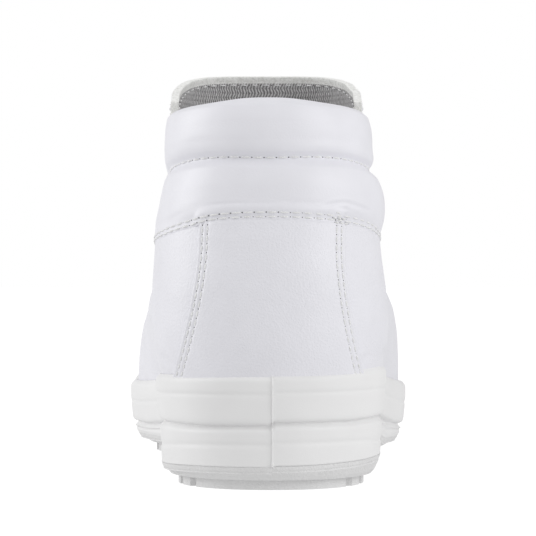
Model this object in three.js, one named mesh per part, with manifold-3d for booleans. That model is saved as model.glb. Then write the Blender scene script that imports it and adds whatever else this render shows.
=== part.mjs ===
// White ankle safety boot for the right foot, standing empty on its sole.
// Millimetres, +Z up. The toe points to +Y and the lateral side to +X.
// The origin is on the floor, under the middle of the boot's box.

import * as THREE from "three";
import { mergeVertices } from "three/addons/utils/BufferGeometryUtils.js";
import Module from "manifold-3d";

// Driving dimensions of the sole
const BOOT_LENGTH = 300;
const BALL_WIDTH = 111;
const BALL_OFFSET = 1.5;
const HEEL_WIDTH = 81.6;
const HEEL_STACK = 40;
const SOLE_LIP = 3;
const CUP_DEPTH = 6;
const LUG_HEIGHT = 3.5;
const TREAD_INSET = 8;
const BALL_TREAD_INSET = 10.6;
const GROOVE_WIDTH = 3.6;
const GROOVE_PITCH = 10;
const EDGE_LUG_WIDTH = 9;

// Driving dimensions of the upper and the shaft
const WALL = 2.2;
const TOPLINE_HEIGHT = 93.6;
const LOWER_ROLL_HEIGHT = 20;
const UPPER_ROLL_HEIGHT = 21;
const FLAP_ABOVE_COLLAR = 13.8;
const RIDGE_ABOVE_FLAP = 12.6;
const SHAFT_WIDTH = 74;
const HEEL_ROUND = 43;
const TOE_ROUND = 76;
const TOE_CAP_ROUND = 22;
const TOE_DRIFT = 8;
const SHAFT_LEAN = 1;
const FRONT_DRIFT = 1;
const FRONT_RISE = 5;
const FLAP_THICKNESS = 3;
const GUSSET_THICKNESS = 2;
const PANEL_THICKNESS = 1.2;
const PANEL_WIDTH = 49.9;
const PANEL_FOOT_DRIFT = 0.8;
const INSOLE_THICKNESS = 4;
const ROLL_EDGE = 3.2;
const ROLL_FILL = 2.6;
const GUSSET_RECESS = 0.8;
const GUSSET_BELOW_COLLAR = 7.6;
const FLAP_CORNER_DROP = 12;
const TOPLINE_DIP = 10;
const COLLAR_DIP = 5.5;

// Heights at the back that follow from them
const ROLL_SEAM_HEIGHT = TOPLINE_HEIGHT + LOWER_ROLL_HEIGHT;
const COLLAR_HEIGHT = ROLL_SEAM_HEIGHT + UPPER_ROLL_HEIGHT;
const FLAP_HEIGHT = COLLAR_HEIGHT + FLAP_ABOVE_COLLAR;
const GUSSET_TOP = COLLAR_HEIGHT - GUSSET_BELOW_COLLAR;

// Clearance that pieces keep where they meet, and the finer one of a curved fit
const GAP = 0.3;
const INSOLE_PLAY = 0.7;

// Shares of a shaft ring from back to front: where the rolls start to fade, and the elastic's edges at the
// collar's and the top line's height.
const ROLL_FADE_START = 0.4;
const ROLL_FADE = 0.16;
const COLLAR_END = { top: 0.53, foot: 0.585 };
const FLAP_EDGE = { top: 0.63, foot: 0.64 };

// Half width of the shaft in the seam between the rolls, a share of half the shaft width, and the columns
// over which a roll's filling tapers off at its ends
const ROLL_NOTCH = 0.95;
const ROLL_TAPER_STEPS = 3;

// Belly of the foot's form, as a share of the way from the feather line to the top line
const BELLY = 0.36;

// Pace at which the front ends of the upper's rings climb from the toe to the top line
const FRONT_PACE = 1.12;

// Sharpness of the rounding at the heel and at the toe, where 2 is an ellipse
const HEEL_SHARP = 2.15;
const TOE_SHARP = 2.35;

// Heel panel: its width at the sole as a share of its width above, and how the sides flare out down there
const PANEL_FOOT = 1.3;
const PANEL_FLARE = { reach: 0.8, sharp: 1.6 };

// Sharpness of the flap's upper corners
const FLAP_CORNER_SHARP = 2.7;

// Number of steps along one side of a ring from heel to toe, of rings from the sole to the top line, of rows
// in a roll of the collar, and of steps along the ridge, the toe wall and the vamp
const SIDE_STEPS = 26;
const UPPER_RINGS = 18;
const ROLL_ROWS = 7;
const RIDGE_STEPS = 90;
const TOE_WALL_STEPS = 24;
const VAMP_STEPS = 60;

// Stretches of the sole, as shares of the feather length: where its half width, centre line and the insets
// of its side change from the heel's to the ball's, and where the toe drifts to the medial side
const STRETCH = {
  width: { from: 0.26, to: 0.56 },
  centre: { from: 0.3, to: 0.58 },
  inset: { from: 0.35, to: 0.55 },
  toe: { from: 0.7, to: 1 },
};

// Stretches of the tread that touch the floor, as shares of the feather length
const HEEL_TREAD = { from: 0, to: 0.272 };
const BALL_TREAD = { from: 0.485, to: 1 };

// Feather line, where upper and sole meet: stations from heel to toe as shares of the feather length.
// Half widths are shares of the sole's local half width, at the feather line and at the belly above it.
const FEATHER = [
  { s: 0.0, lateral: 0.99, medial: 0.99, lateralBelly: 1.02, medialBelly: 1.02 },
  { s: 0.12, lateral: 1.0, medial: 1.0, lateralBelly: 1.025, medialBelly: 1.025 },
  { s: 0.26, lateral: 0.985, medial: 0.935, lateralBelly: 1.045, medialBelly: 1.045 },
  { s: 0.41, lateral: 0.88, medial: 0.72, lateralBelly: 0.955, medialBelly: 0.945 },
  { s: 0.52, lateral: 0.93, medial: 0.765, lateralBelly: 0.93, medialBelly: 0.875 },
  { s: 0.59, lateral: 1.0, medial: 0.9, lateralBelly: 0.955, medialBelly: 0.915 },
  { s: 0.66, lateral: 0.995, medial: 1.0, lateralBelly: 0.965, medialBelly: 0.96 },
  { s: 0.78, lateral: 0.965, medial: 0.98, lateralBelly: 0.94, medialBelly: 0.945 },
  { s: 0.9, lateral: 0.9, medial: 0.91, lateralBelly: 0.88, medialBelly: 0.885 },
  { s: 1.0, lateral: 0.83, medial: 0.84, lateralBelly: 0.81, medialBelly: 0.82 },
];

// Lines of the sole's side from heel to toe, as shares of the heel stack.
const SOLE_LINES = [
  { s: 0.0, tread: 0.0, ledge: 0.222, crease: 0.4, step: 0.585, ridge: 0.84, top: 1.0 },
  { s: 0.05, tread: 0.0, ledge: 0.222, crease: 0.4, step: 0.585, ridge: 0.84, top: 1.0 },
  { s: 0.265, tread: 0.0, ledge: 0.222, crease: 0.395, step: 0.565, ridge: 0.81, top: 0.97 },
  { s: 0.31, tread: 0.15, ledge: 0.285, crease: 0.4, step: 0.545, ridge: 0.785, top: 0.945 },
  { s: 0.44, tread: 0.15, ledge: 0.27, crease: 0.35, step: 0.435, ridge: 0.66, top: 0.84 },
  { s: 0.49, tread: 0.0, ledge: 0.2, crease: 0.28, step: 0.37, ridge: 0.59, top: 0.79 },
  { s: 0.6, tread: 0.0, ledge: 0.185, crease: 0.24, step: 0.3, ridge: 0.515, top: 0.72 },
  { s: 0.73, tread: 0.0, ledge: 0.185, crease: 0.24, step: 0.3, ridge: 0.505, top: 0.7 },
  { s: 0.88, tread: 0.1, ledge: 0.27, crease: 0.33, step: 0.39, ridge: 0.58, top: 0.78 },
  { s: 1.0, tread: 0.3, ledge: 0.46, crease: 0.52, step: 0.58, ridge: 0.77, top: 0.97 },
];

// Side of the sole from the ledge up: the line that a row follows, its rise above it as a share of the heel
// stack, and its inset at the heel and from the ball on as shares of the sole's lip.
const MIDSOLE_SIDE = [
  { line: "ledge", rise: GAP / HEEL_STACK, inset: 0.7, ballInset: 1 },
  { line: "crease", rise: -0.02, inset: 0.63, ballInset: 0.77 },
  { line: "crease", rise: 0, inset: 0.8, ballInset: 0.93 },
  { line: "crease", rise: 0.02, inset: 0.6, ballInset: 0.7 },
  { line: "step", rise: -0.0225, inset: 0.53, ballInset: 0.6 },
  { line: "step", rise: -0.0025, inset: 1.07, ballInset: 1.07 },
  { line: "step", rise: 0.0125, inset: 0.4, ballInset: 0.4 },
  { line: "step", rise: 0.045, inset: 0.27, ballInset: 0.27 },
  { line: "ridge", rise: -0.015, inset: 0.07, ballInset: 0.07 },
  { line: "ridge", rise: 0, inset: 0.23, ballInset: 0.23 },
  { line: "ridge", rise: 0.015, inset: 0, ballInset: 0 },
  { line: "top", rise: -0.0375, inset: 0, ballInset: 0 },
  { line: "top", rise: 0, inset: 0.5, ballInset: 0.5 },
];

// Side of the outsole, from the groove floor of the tread up to the ledge, in the same columns.
const LUG_SHARE = LUG_HEIGHT / HEEL_STACK;
const OUTSOLE_SIDE = [
  { line: "tread", rise: LUG_SHARE, inset: 1.73, ballInset: 2.87 },
  { line: "tread", rise: LUG_SHARE + 0.03, inset: 1.37, ballInset: 2.13 },
  { line: "ledge", rise: -0.04, inset: 0.97, ballInset: 1.47 },
  { line: "ledge", rise: 0, inset: 0.67, ballInset: 1.03 },
];

const mix = (a, b, t) => a + (b - a) * t;
const inLowerRoll = (share) => mix(TOPLINE_HEIGHT, ROLL_SEAM_HEIGHT, share);
const inUpperRoll = (share) => mix(ROLL_SEAM_HEIGHT, COLLAR_HEIGHT, share);

// Shaft by its height at the back. The other columns are shares of half the shaft width: how far the back is
// set in from the feather line's heel end, and the half width over the collar's rolls and on the plain front.
const SHAFT = [
  { level: HEEL_STACK - CUP_DEPTH, setIn: 0, rolled: 1.06, plain: 1.06 },
  { level: 0.5 * TOPLINE_HEIGHT, setIn: -0.027, rolled: 1.06, plain: 1.06 },
  { level: 0.7 * TOPLINE_HEIGHT, setIn: -0.005, rolled: 1.06, plain: 1.06 },
  { level: 0.9 * TOPLINE_HEIGHT, setIn: 0.097, rolled: 1.065, plain: 1.06 },
  { level: TOPLINE_HEIGHT, setIn: 0.151, rolled: 1.08, plain: 1.05 },
  { level: inLowerRoll(0.22), setIn: 0.124, rolled: 1.095, plain: 1.04 },
  { level: inLowerRoll(0.5), setIn: 0.135, rolled: 1.08, plain: 1.02 },
  { level: inLowerRoll(0.82), setIn: 0.189, rolled: 1.03, plain: 0.99 },
  { level: ROLL_SEAM_HEIGHT, setIn: 0.254, rolled: 0.95, plain: 0.98 },
  { level: inUpperRoll(0.12), setIn: 0.216, rolled: 0.98, plain: 0.975 },
  { level: inUpperRoll(0.38), setIn: 0.189, rolled: 1.0, plain: 0.97 },
  { level: inUpperRoll(0.62), setIn: 0.2, rolled: 0.995, plain: 0.965 },
  { level: inUpperRoll(0.86), setIn: 0.243, rolled: 0.97, plain: 0.96 },
  { level: COLLAR_HEIGHT, setIn: 0.324, rolled: 0.9, plain: 0.96 },
  { level: FLAP_HEIGHT, setIn: 0.351, rolled: 0.9, plain: 0.96 },
];

// Ridge of the upper from the toe cap over the vamp and up past the front flap's edge. y is a share of the
// feather length and z of the top line height; round is how far the crown reaches down, a share of half the
// ball width, and sharp is the sharpness of its rounding.
const RIDGE = [
  { q: 0.0, y: 1.08, z: 0.7, round: 0.72, sharp: 2.5 },
  { q: 0.1, y: 0.91, z: 0.725, round: 0.78, sharp: 2.5 },
  { q: 0.24, y: 0.81, z: 0.785, round: 0.9, sharp: 2.7 },
  { q: 0.4, y: 0.705, z: 0.865, round: 1.05, sharp: 2.8 },
  { q: 0.56, y: 0.605, z: 0.965, round: 1.1, sharp: 2.7 },
  { q: 0.7, y: 0.525, z: 1.08, round: 1.0, sharp: 2.5 },
  { q: 0.83, y: 0.475, z: 1.23, round: 0.9, sharp: 2.5 },
  { q: 0.92, y: 0.452, z: 1.4, round: 0.84, sharp: 2.6 },
  { q: 1.0, y: 0.436, z: (FLAP_HEIGHT + RIDGE_ABOVE_FLAP) / TOPLINE_HEIGHT, round: 0.84, sharp: 2.6 },
];

const FEATHER_LENGTH = BOOT_LENGTH - 2 * SOLE_LIP;
const HEEL_END = -FEATHER_LENGTH / 2;
const TOE_END = FEATHER_LENGTH / 2;

const wasm = await Module();
wasm.setup();

const clamp01 = (t) => Math.min(1, Math.max(0, t));
const smooth = (t) => clamp01(t) ** 2 * (3 - 2 * clamp01(t));
const passed = (s, { from, to }) => smooth((s - from) / (to - from));

// Smooth curve through one column of a table, which never swings past its rows.
function column(rows, name, key) {
  const x = rows.map((row) => row[key]);
  const f = rows.map((row) => row[name]);
  const last = rows.length - 1;
  const secant = (i) => (f[i + 1] - f[i]) / (x[i + 1] - x[i]);
  const slope = f.map((_, i) => {
    if (i === 0) return secant(0);
    if (i === last) return secant(last - 1);
    const before = secant(i - 1);
    const after = secant(i);
    return before * after > 0 ? (2 * before * after) / (before + after) : 0;
  });
  return (at) => {
    const here = Math.min(x[last], Math.max(x[0], at));
    let i = 0;
    while (i < last - 1 && here > x[i + 1]) i += 1;
    const span = x[i + 1] - x[i];
    const t = (here - x[i]) / span;
    const rise = (t * t * (3 - 2 * t)) * (f[i + 1] - f[i]);
    const lead = t * (1 - t) * (1 - t) * slope[i] * span;
    const trail = t * t * (1 - t) * slope[i + 1] * span;
    return f[i] + rise + lead - trail;
  };
}

const feather = {};
["lateral", "medial", "lateralBelly", "medialBelly"].forEach((name) => {
  feather[name] = column(FEATHER, name, "s");
});
const soleLine = {};
["tread", "ledge", "crease", "step", "ridge", "top"].forEach((name) => {
  const share = column(SOLE_LINES, name, "s");
  soleLine[name] = (s) => share(s) * HEEL_STACK;
});
const setInShare = column(SHAFT, "setIn", "level");
const rolledShare = column(SHAFT, "rolled", "level");
const plainShare = column(SHAFT, "plain", "level");
const setInAt = (level) => (setInShare(level) * SHAFT_WIDTH) / 2;

// Half width of the shaft at a level: rolled round the back, plain from the gussets to the front.
function shaftHalf(level, along) {
  const share = mix(rolledShare(level), plainShare(level), smooth((along - ROLL_FADE_START) / ROLL_FADE));
  return (share * SHAFT_WIDTH) / 2;
}

// Rounding of an outline's end: 0 at the end itself, 1 from the rounding length on.
function rounded(t, sharpness) {
  return (1 - (1 - clamp01(t)) ** sharpness) ** (1 / sharpness);
}

// Points of the ridge, close together, with the crown's reach and sharpness at each.
const ridge = (() => {
  const at = {};
  ["y", "z", "round", "sharp"].forEach((name) => {
    at[name] = column(RIDGE, name, "q");
  });
  return Array.from({ length: RIDGE_STEPS + 1 }, (_, i) => {
    const q = i / RIDGE_STEPS;
    return {
      y: HEEL_END + at.y(q) * FEATHER_LENGTH,
      z: at.z(q) * TOPLINE_HEIGHT,
      round: (at.round(q) * BALL_WIDTH) / 2,
      sharp: at.sharp(q),
    };
  });
})();

// Nearest place of the ridge to a point of the side view.
function nearestRidge(y, z) {
  let best = { distance: Infinity };
  for (let i = 0; i < RIDGE_STEPS; i += 1) {
    const a = ridge[i];
    const b = ridge[i + 1];
    const along = (y - a.y) * (b.y - a.y) + (z - a.z) * (b.z - a.z);
    const t = clamp01(along / ((b.y - a.y) ** 2 + (b.z - a.z) ** 2));
    const distance = Math.hypot(y - mix(a.y, b.y, t), z - mix(a.z, b.z, t));
    if (distance < best.distance) {
      best = { distance, round: mix(a.round, b.round, t), sharp: mix(a.sharp, b.sharp, t) };
    }
  }
  return best;
}

// Height of the ridge over a place of the forefoot, and its place at a height of the shaft's front.
function ridgeHeight(y) {
  const i = ridge.findIndex((point, k) => k > 0 && point.y <= y);
  const a = ridge[i - 1];
  const b = ridge[i];
  return mix(a.z, b.z, (y - a.y) / (b.y - a.y));
}

function ridgePlace(z) {
  const i = ridge.findIndex((point) => point.z >= z);
  const a = ridge[i - 1];
  const b = ridge[i];
  return mix(a.y, b.y, (z - a.z) / (b.z - a.z));
}

const stationOf = (y) => clamp01((y - HEEL_END) / FEATHER_LENGTH);
const cupFloor = (s) => soleLine.top(s) - CUP_DEPTH;
const featherZ = (y) => cupFloor(stationOf(y)) + GAP;
const centreLine = (s) => -BALL_OFFSET * passed(s, STRETCH.centre) - TOE_DRIFT * passed(s, STRETCH.toe);
const soleHalf = (s) => mix(HEEL_WIDTH, BALL_WIDTH, passed(s, STRETCH.width)) / 2;

// Toe wall in the side view: upright above the feather line, then rounded into the ridge.
const TOE_TOP = ridgeHeight(TOE_END - TOE_CAP_ROUND);
function toePlace(z) {
  const t = clamp01((z - (TOE_TOP - TOE_CAP_ROUND)) / TOE_CAP_ROUND);
  return TOE_END - TOE_CAP_ROUND * (1 - Math.sqrt(1 - t * t));
}

// Front border of the side view, from the toe's feather line up to the top line's front.
const FRONT_TOP = TOPLINE_HEIGHT + FRONT_RISE;
const frontBorder = (() => {
  const points = [];
  const foot = featherZ(TOE_END);
  for (let i = 0; i <= TOE_WALL_STEPS; i += 1) {
    const z = mix(foot, TOE_TOP, Math.sin((Math.PI / 2) * (i / TOE_WALL_STEPS)));
    points.push(new THREE.Vector2(toePlace(z), z));
  }
  const start = TOE_END - TOE_CAP_ROUND;
  const end = ridgePlace(FRONT_TOP);
  for (let i = 1; i <= VAMP_STEPS; i += 1) {
    const y = mix(start, end, i / VAMP_STEPS);
    points.push(new THREE.Vector2(y, ridgeHeight(y)));
  }
  return points;
})();

const borderLengths = (() => {
  const lengths = [0];
  for (let i = 1; i < frontBorder.length; i += 1) {
    lengths.push(lengths[i - 1] + frontBorder[i].distanceTo(frontBorder[i - 1]));
  }
  return lengths;
})();

function borderPoint(share) {
  const goal = share * borderLengths[borderLengths.length - 1];
  let i = 1;
  while (i < borderLengths.length - 1 && borderLengths[i] < goal) i += 1;
  const t = (goal - borderLengths[i - 1]) / (borderLengths[i] - borderLengths[i - 1]);
  return frontBorder[i - 1].clone().lerp(frontBorder[i], t);
}

// How far the rings of the shaft sink at the sides, by level.
const levelShare = (level) => clamp01((level - TOPLINE_HEIGHT) / (COLLAR_HEIGHT - TOPLINE_HEIGHT));
const sideDip = (level) => mix(TOPLINE_DIP, COLLAR_DIP, levelShare(level));

// Half width at a place of the side view: the plateau, rounded off at the heel, the toe and the ridge.
function halfWidth(y, z, plateau, backY) {
  const crown = nearestRidge(y, z);
  const heel = rounded((y - backY) / HEEL_ROUND, HEEL_SHARP);
  const toe = rounded((toePlace(Math.min(z, TOE_TOP)) - y) / TOE_ROUND, TOE_SHARP);
  return plateau * heel * toe * rounded(crown.distance / crown.round, crown.sharp);
}

// A turn runs from the back of the boot (0) over its lateral side to the front (1), or over its medial side
// to the front (-1). Past the front it goes on along the other side.
function sideOf(turn) {
  const u = Math.abs(turn);
  const side = turn < 0 ? -1 : 1;
  return u > 1 ? { side: -side, u: 2 - u } : { side, u };
}

// Point of the foot's form at a turn, with v from the feather line (0) to the top line (1).
function footPoint(turn, v) {
  const { side, u } = sideOf(turn);
  const along = (1 - Math.cos(Math.PI * u)) / 2;
  const footZ = featherZ(HEEL_END);
  const level = mix(footZ, TOPLINE_HEIGHT, v);
  const backY = HEEL_END + setInAt(level);
  const front = borderPoint(v ** FRONT_PACE);
  const y = mix(backY, front.x, along);
  const s = stationOf(y);
  const sag = (featherZ(y) - mix(footZ, featherZ(TOE_END), s)) * (1 - v) ** 2;
  const dip = sideDip(level) * Math.sin(Math.PI * along);
  const z = mix(level, front.y, along) + sag - v * v * dip;
  const name = side > 0 ? "lateral" : "medial";
  const low = feather[name](s) * (soleHalf(s) - SOLE_LIP);
  const belly = feather[name + "Belly"](s) * soleHalf(s);
  const high = shaftHalf(TOPLINE_HEIGHT, along);
  const plateau = v < BELLY ? mix(low, belly, Math.sin((Math.PI / 2) * (v / BELLY)))
    : mix(belly, high, smooth((v - BELLY) / (1 - BELLY)));
  const w = halfWidth(y, z + v * v * dip, plateau, backY);
  const centre = centreLine(s) * (1 - v * v) - SHAFT_LEAN * smooth(v) - FRONT_DRIFT * along * v * v;
  return new THREE.Vector3(centre + side * w, y, z);
}

// Point of the shaft's form at a turn and a level, which is its height at the back of the boot.
function shaftPoint(turn, level) {
  const { side, u } = sideOf(turn);
  const along = (1 - Math.cos(Math.PI * u)) / 2;
  const backY = HEEL_END + setInAt(level);
  const y = mix(backY, ridgePlace(level + FRONT_RISE), along);
  const z = level + FRONT_RISE * along;
  const w = halfWidth(y, z, shaftHalf(level, along), backY);
  const centre = -SHAFT_LEAN - FRONT_DRIFT * along;
  return new THREE.Vector3(centre + side * w, y, z - sideDip(level) * Math.sin(Math.PI * along));
}

// Outward direction of a form at a turn and a height, from its points close by.
function outward(form, turn, height, lowest, highest) {
  const turnStep = 0.004;
  const heightStep = 0.004 * (highest - lowest);
  const across = form(turn + turnStep, height).sub(form(turn - turnStep, height));
  const above = form(turn, Math.min(highest, height + heightStep));
  const below = form(turn, Math.max(lowest, height - heightStep));
  return across.cross(above.sub(below)).normalize();
}

const foot = {
  point: footPoint,
  normal: (turn, v) => outward(footPoint, turn, v, 0, 1),
};
const shaft = {
  point: shaftPoint,
  normal: (turn, level) => outward(shaftPoint, turn, level, TOPLINE_HEIGHT, FLAP_HEIGHT),
};

// Turns of a closed ring: heel, lateral side, front, medial side.
const RING_TURNS = Array.from({ length: 2 * SIDE_STEPS }, (_, i) =>
  (i <= SIDE_STEPS ? i / SIDE_STEPS : i / SIDE_STEPS - 2));

// Mesh that gathers corners and triangles.
class Skin {
  constructor() {
    this.corners = [];
    this.faces = [];
  }

  addRow(points) {
    const first = this.corners.length;
    this.corners.push(...points);
    return points.map((_, i) => first + i);
  }

  quad(a, b, c, d) {
    this.faces.push(a, b, c, a, c, d);
  }

  // Band between two rows of corners, closed into a ring or open.
  band(low, high, closed) {
    const steps = closed ? low.length : low.length - 1;
    for (let i = 0; i < steps; i += 1) {
      const j = (i + 1) % low.length;
      this.quad(low[i], low[j], high[j], high[i]);
    }
  }

  // Lid across a ring, whose lateral corners are joined to the medial ones, facing up or down.
  lid(row, up) {
    const count = row.length;
    for (let i = 0; i < count / 2; i += 1) {
      const ring = [row[i], row[i + 1], row[(count - i - 1) % count], row[(count - i) % count]];
      const corners = ring.filter((corner, k) => ring.indexOf(corner) === k);
      if (!up) corners.reverse();
      if (corners.length === 4) this.quad(...corners);
      else this.faces.push(...corners);
    }
  }

  geometry() {
    const flat = this.corners.flatMap((point) => [point.x, point.y, point.z]);
    const geometry = new THREE.BufferGeometry();
    geometry.setAttribute("position", new THREE.Float32BufferAttribute(flat, 3));
    geometry.setIndex(this.faces);
    return geometry;
  }
}

// Row of points of a form at the stops of a row, moved out by a distance that may differ along the row.
function offsetRow(form, stops, distance, r) {
  return stops.map(({ turn, height }, c) => {
    const reach = typeof distance === "function" ? distance(r, c) : distance;
    return form.point(turn, height).addScaledVector(form.normal(turn, height), reach);
  });
}

// Wall between an outer and an inner offset of a form over a grid of stops, closed all round its edges.
function wallGeometry(form, stops, closed, outer, inner) {
  const skin = new Skin();
  const outerRows = stops.map((row, r) => skin.addRow(offsetRow(form, row, outer, r)));
  const innerRows = stops.map((row, r) => skin.addRow(offsetRow(form, row, inner, r)));
  const top = stops.length - 1;
  for (let r = 0; r < top; r += 1) {
    skin.band(outerRows[r], outerRows[r + 1], closed);
    skin.band(innerRows[r + 1], innerRows[r], closed);
  }
  skin.band(outerRows[top], innerRows[top], closed);
  skin.band(innerRows[0], outerRows[0], closed);
  if (!closed) {
    const end = stops[0].length - 1;
    for (let r = 0; r < top; r += 1) {
      skin.quad(outerRows[r][0], outerRows[r + 1][0], innerRows[r + 1][0], innerRows[r][0]);
      skin.quad(innerRows[r][end], innerRows[r + 1][end], outerRows[r + 1][end], outerRows[r][end]);
    }
  }
  return skin.geometry();
}

// Solid between rings, with a lid below and above.
function stackGeometry(rings) {
  const skin = new Skin();
  const rows = rings.map((ring) => skin.addRow(ring));
  for (let r = 0; r < rows.length - 1; r += 1) skin.band(rows[r], rows[r + 1], true);
  skin.lid(rows[0], false);
  skin.lid(rows[rows.length - 1], true);
  return skin.geometry();
}

function toSolid(geometry) {
  return new wasm.Manifold(new wasm.Mesh({
    numProp: 3,
    vertProperties: new Float32Array(geometry.attributes.position.array),
    triVerts: new Uint32Array(geometry.index.array),
  }));
}

function fromSolid(solid) {
  const mesh = solid.getMesh();
  const geometry = new THREE.BufferGeometry();
  geometry.setAttribute("position", new THREE.BufferAttribute(mesh.vertProperties, 3));
  geometry.setIndex(new THREE.BufferAttribute(mesh.triVerts, 1));
  return geometry;
}

// Feather ring in plan, with its outward directions and stations.
const featherRing = RING_TURNS.map((turn) => footPoint(turn, 0));
const featherOut = featherRing.map((_, i) => {
  const count = featherRing.length;
  const ahead = featherRing[(i + 1) % count];
  const behind = featherRing[(i + count - 1) % count];
  return new THREE.Vector3(ahead.y - behind.y, behind.x - ahead.x, 0).normalize();
});

// Ring of the sole, set in from its outline by one distance at the heel and another from the ball on, at the
// height that a function gives for its stations.
function soleRing(inset, ballInset, heightAt) {
  return featherRing.map((point, i) => {
    const s = stationOf(point.y);
    const out = SOLE_LIP - mix(inset, ballInset, passed(s, STRETCH.inset));
    return point.clone().addScaledVector(featherOut[i], out).setZ(heightAt(s));
  });
}

const sideRings = (side) => side.map(({ line, rise, inset, ballInset }) =>
  soleRing(inset * SOLE_LIP, ballInset * SOLE_LIP, (s) => soleLine[line](s) + rise * HEEL_STACK));

const footStops = Array.from({ length: UPPER_RINGS + 1 }, (_, r) =>
  RING_TURNS.map((turn) => ({ turn, height: r / UPPER_RINGS })));

function makeUpper() {
  return wallGeometry(foot, footStops, true, 0, -WALL);
}

function makeMidsole() {
  const body = toSolid(stackGeometry(sideRings(MIDSOLE_SIDE)));
  const lasted = footStops.map((row) => offsetRow(foot, row, GAP));
  const floorRing = lasted[0].map((point) => point.clone().setZ(cupFloor(stationOf(point.y))));
  const cup = toSolid(stackGeometry([floorRing, ...lasted]));
  return fromSolid(body.subtract(cup));
}

// Box without its normals and texture places, so that its corners are shared.
function plainBox(width, depth, height) {
  const box = new THREE.BoxGeometry(width, depth, height);
  box.deleteAttribute("normal");
  box.deleteAttribute("uv");
  return mergeVertices(box);
}

// Solid between two heights that follow the tread's face, set in from the tread's edge.
function treadLayer(inset, low, high) {
  const ring = (rise) =>
    soleRing(TREAD_INSET + inset, BALL_TREAD_INSET + inset, (s) => soleLine.tread(s) + rise);
  return toSolid(stackGeometry([ring(low), ring(high)]));
}

function makeOutsole() {
  const base = toSolid(stackGeometry(sideRings(OUTSOLE_SIDE)));
  const bite = 0.5;
  const lugs = treadLayer(0, 0, LUG_HEIGHT + bite);
  const ring = treadLayer(EDGE_LUG_WIDTH, -bite, LUG_HEIGHT + 2 * bite)
    .subtract(treadLayer(EDGE_LUG_WIDTH + GROOVE_WIDTH, -2 * bite, LUG_HEIGHT + 3 * bite));
  let field = lugs.subtract(ring);
  for (let y = HEEL_END + 2 * GROOVE_PITCH; y < TOE_END; y += GROOVE_PITCH) {
    const groove = plainBox(BALL_WIDTH, GROOVE_WIDTH, 2 * HEEL_STACK).translate(0, y, 0);
    field = field.subtract(toSolid(groove));
  }
  const waistFrom = HEEL_END + HEEL_TREAD.to * FEATHER_LENGTH;
  const waistTo = HEEL_END + BALL_TREAD.from * FEATHER_LENGTH;
  const waist = plainBox(BALL_WIDTH, waistTo - waistFrom, 2 * HEEL_STACK)
    .translate(0, (waistFrom + waistTo) / 2, 0);
  return fromSolid(base.add(field.subtract(toSolid(waist))));
}

function makeInsole() {
  const edge = SOLE_LIP + WALL + INSOLE_PLAY;
  const ring = (inset, rise) => soleRing(inset, inset, (s) => cupFloor(s) + GAP + rise);
  const bevel = 1;
  return stackGeometry([
    ring(edge, 0),
    ring(edge, INSOLE_THICKNESS - bevel),
    ring(edge + bevel, INSOLE_THICKNESS),
  ]);
}

// Shares of the way from back to front become steps of even turn.
const turnOf = (along) => Math.acos(1 - 2 * along) / Math.PI;
const collarEnd = (level) => mix(COLLAR_END.foot, COLLAR_END.top, levelShare(level));
const flapEdge = (level) => mix(FLAP_EDGE.foot, FLAP_EDGE.top, levelShare(level));
const mouthDepth = ridgePlace(COLLAR_HEIGHT + FRONT_RISE) - HEEL_END - setInAt(COLLAR_HEIGHT);
const gapShare = GAP / mouthDepth;

// Grid of stops: rows from foot to top, columns from -1 to 1.
function grid(rows, columns, point) {
  return Array.from({ length: rows + 1 }, (_, r) =>
    Array.from({ length: columns + 1 }, (_, c) => point(r / rows, (2 * c) / columns - 1)));
}

// Overlay on the heel between the double seams, from the sole's top edge to the top line.
function makeHeelPanel() {
  const rows = 10;
  const columns = 14;
  const halvings = 30;
  const start = (HEEL_STACK + 2 * GAP - featherZ(HEEL_END)) / (TOPLINE_HEIGHT - featherZ(HEEL_END));
  const place = (share, across) => {
    const v = mix(start, 1, share);
    const flare = mix(1, PANEL_FOOT, clamp01(1 - share / PANEL_FLARE.reach) ** PANEL_FLARE.sharp);
    const drift = PANEL_FOOT_DRIFT * (1 - share);
    const side = Math.sign(across);
    const goal = (Math.abs(across) * flare * PANEL_WIDTH) / 2;
    let low = 0;
    let high = 0.5;
    for (let i = 0; i < halvings; i += 1) {
      const middle = (low + high) / 2;
      if (side * (footPoint(side * middle, v).x + drift) < goal) low = middle;
      else high = middle;
    }
    return { turn: side * low, height: v };
  };
  return wallGeometry(foot, grid(rows, columns, place), false, GAP + PANEL_THICKNESS, GAP);
}

// Padded roll of the collar between two levels, thinner at its seams and towards its ends.
function makeRoll(from, to) {
  const rows = ROLL_ROWS;
  const columns = 30;
  const place = (share, across) => {
    const level = mix(from, to, share);
    return { turn: across * turnOf(collarEnd(level)), height: level };
  };
  const depth = (r, c) => {
    const share = r / rows;
    const level = mix(from, to, share);
    const bulge = ((rolledShare(level) - ROLL_NOTCH) * SHAFT_WIDTH) / 2;
    const taper = smooth(Math.min(c, columns - c) / ROLL_TAPER_STEPS);
    return -ROLL_EDGE - taper * (Math.max(0, bulge) + ROLL_FILL * Math.sin(Math.PI * share));
  };
  return wallGeometry(shaft, grid(rows, columns, place), false, 0, depth);
}

// Elastic between the collar's end and the flap's edge, set back a little from both.
function makeGusset(side) {
  const rows = 5;
  const columns = 3;
  const place = (share, across) => {
    const level = mix(TOPLINE_HEIGHT + GAP, GUSSET_TOP, share);
    const from = collarEnd(level) + 2 * gapShare;
    const to = flapEdge(level) - 2 * gapShare;
    const along = mix(from, to, (side * across + 1) / 2);
    return { turn: side * turnOf(along), height: level };
  };
  const inner = -GUSSET_RECESS - GUSSET_THICKNESS;
  return wallGeometry(shaft, grid(rows, columns, place), false, -GUSSET_RECESS, inner);
}

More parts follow.
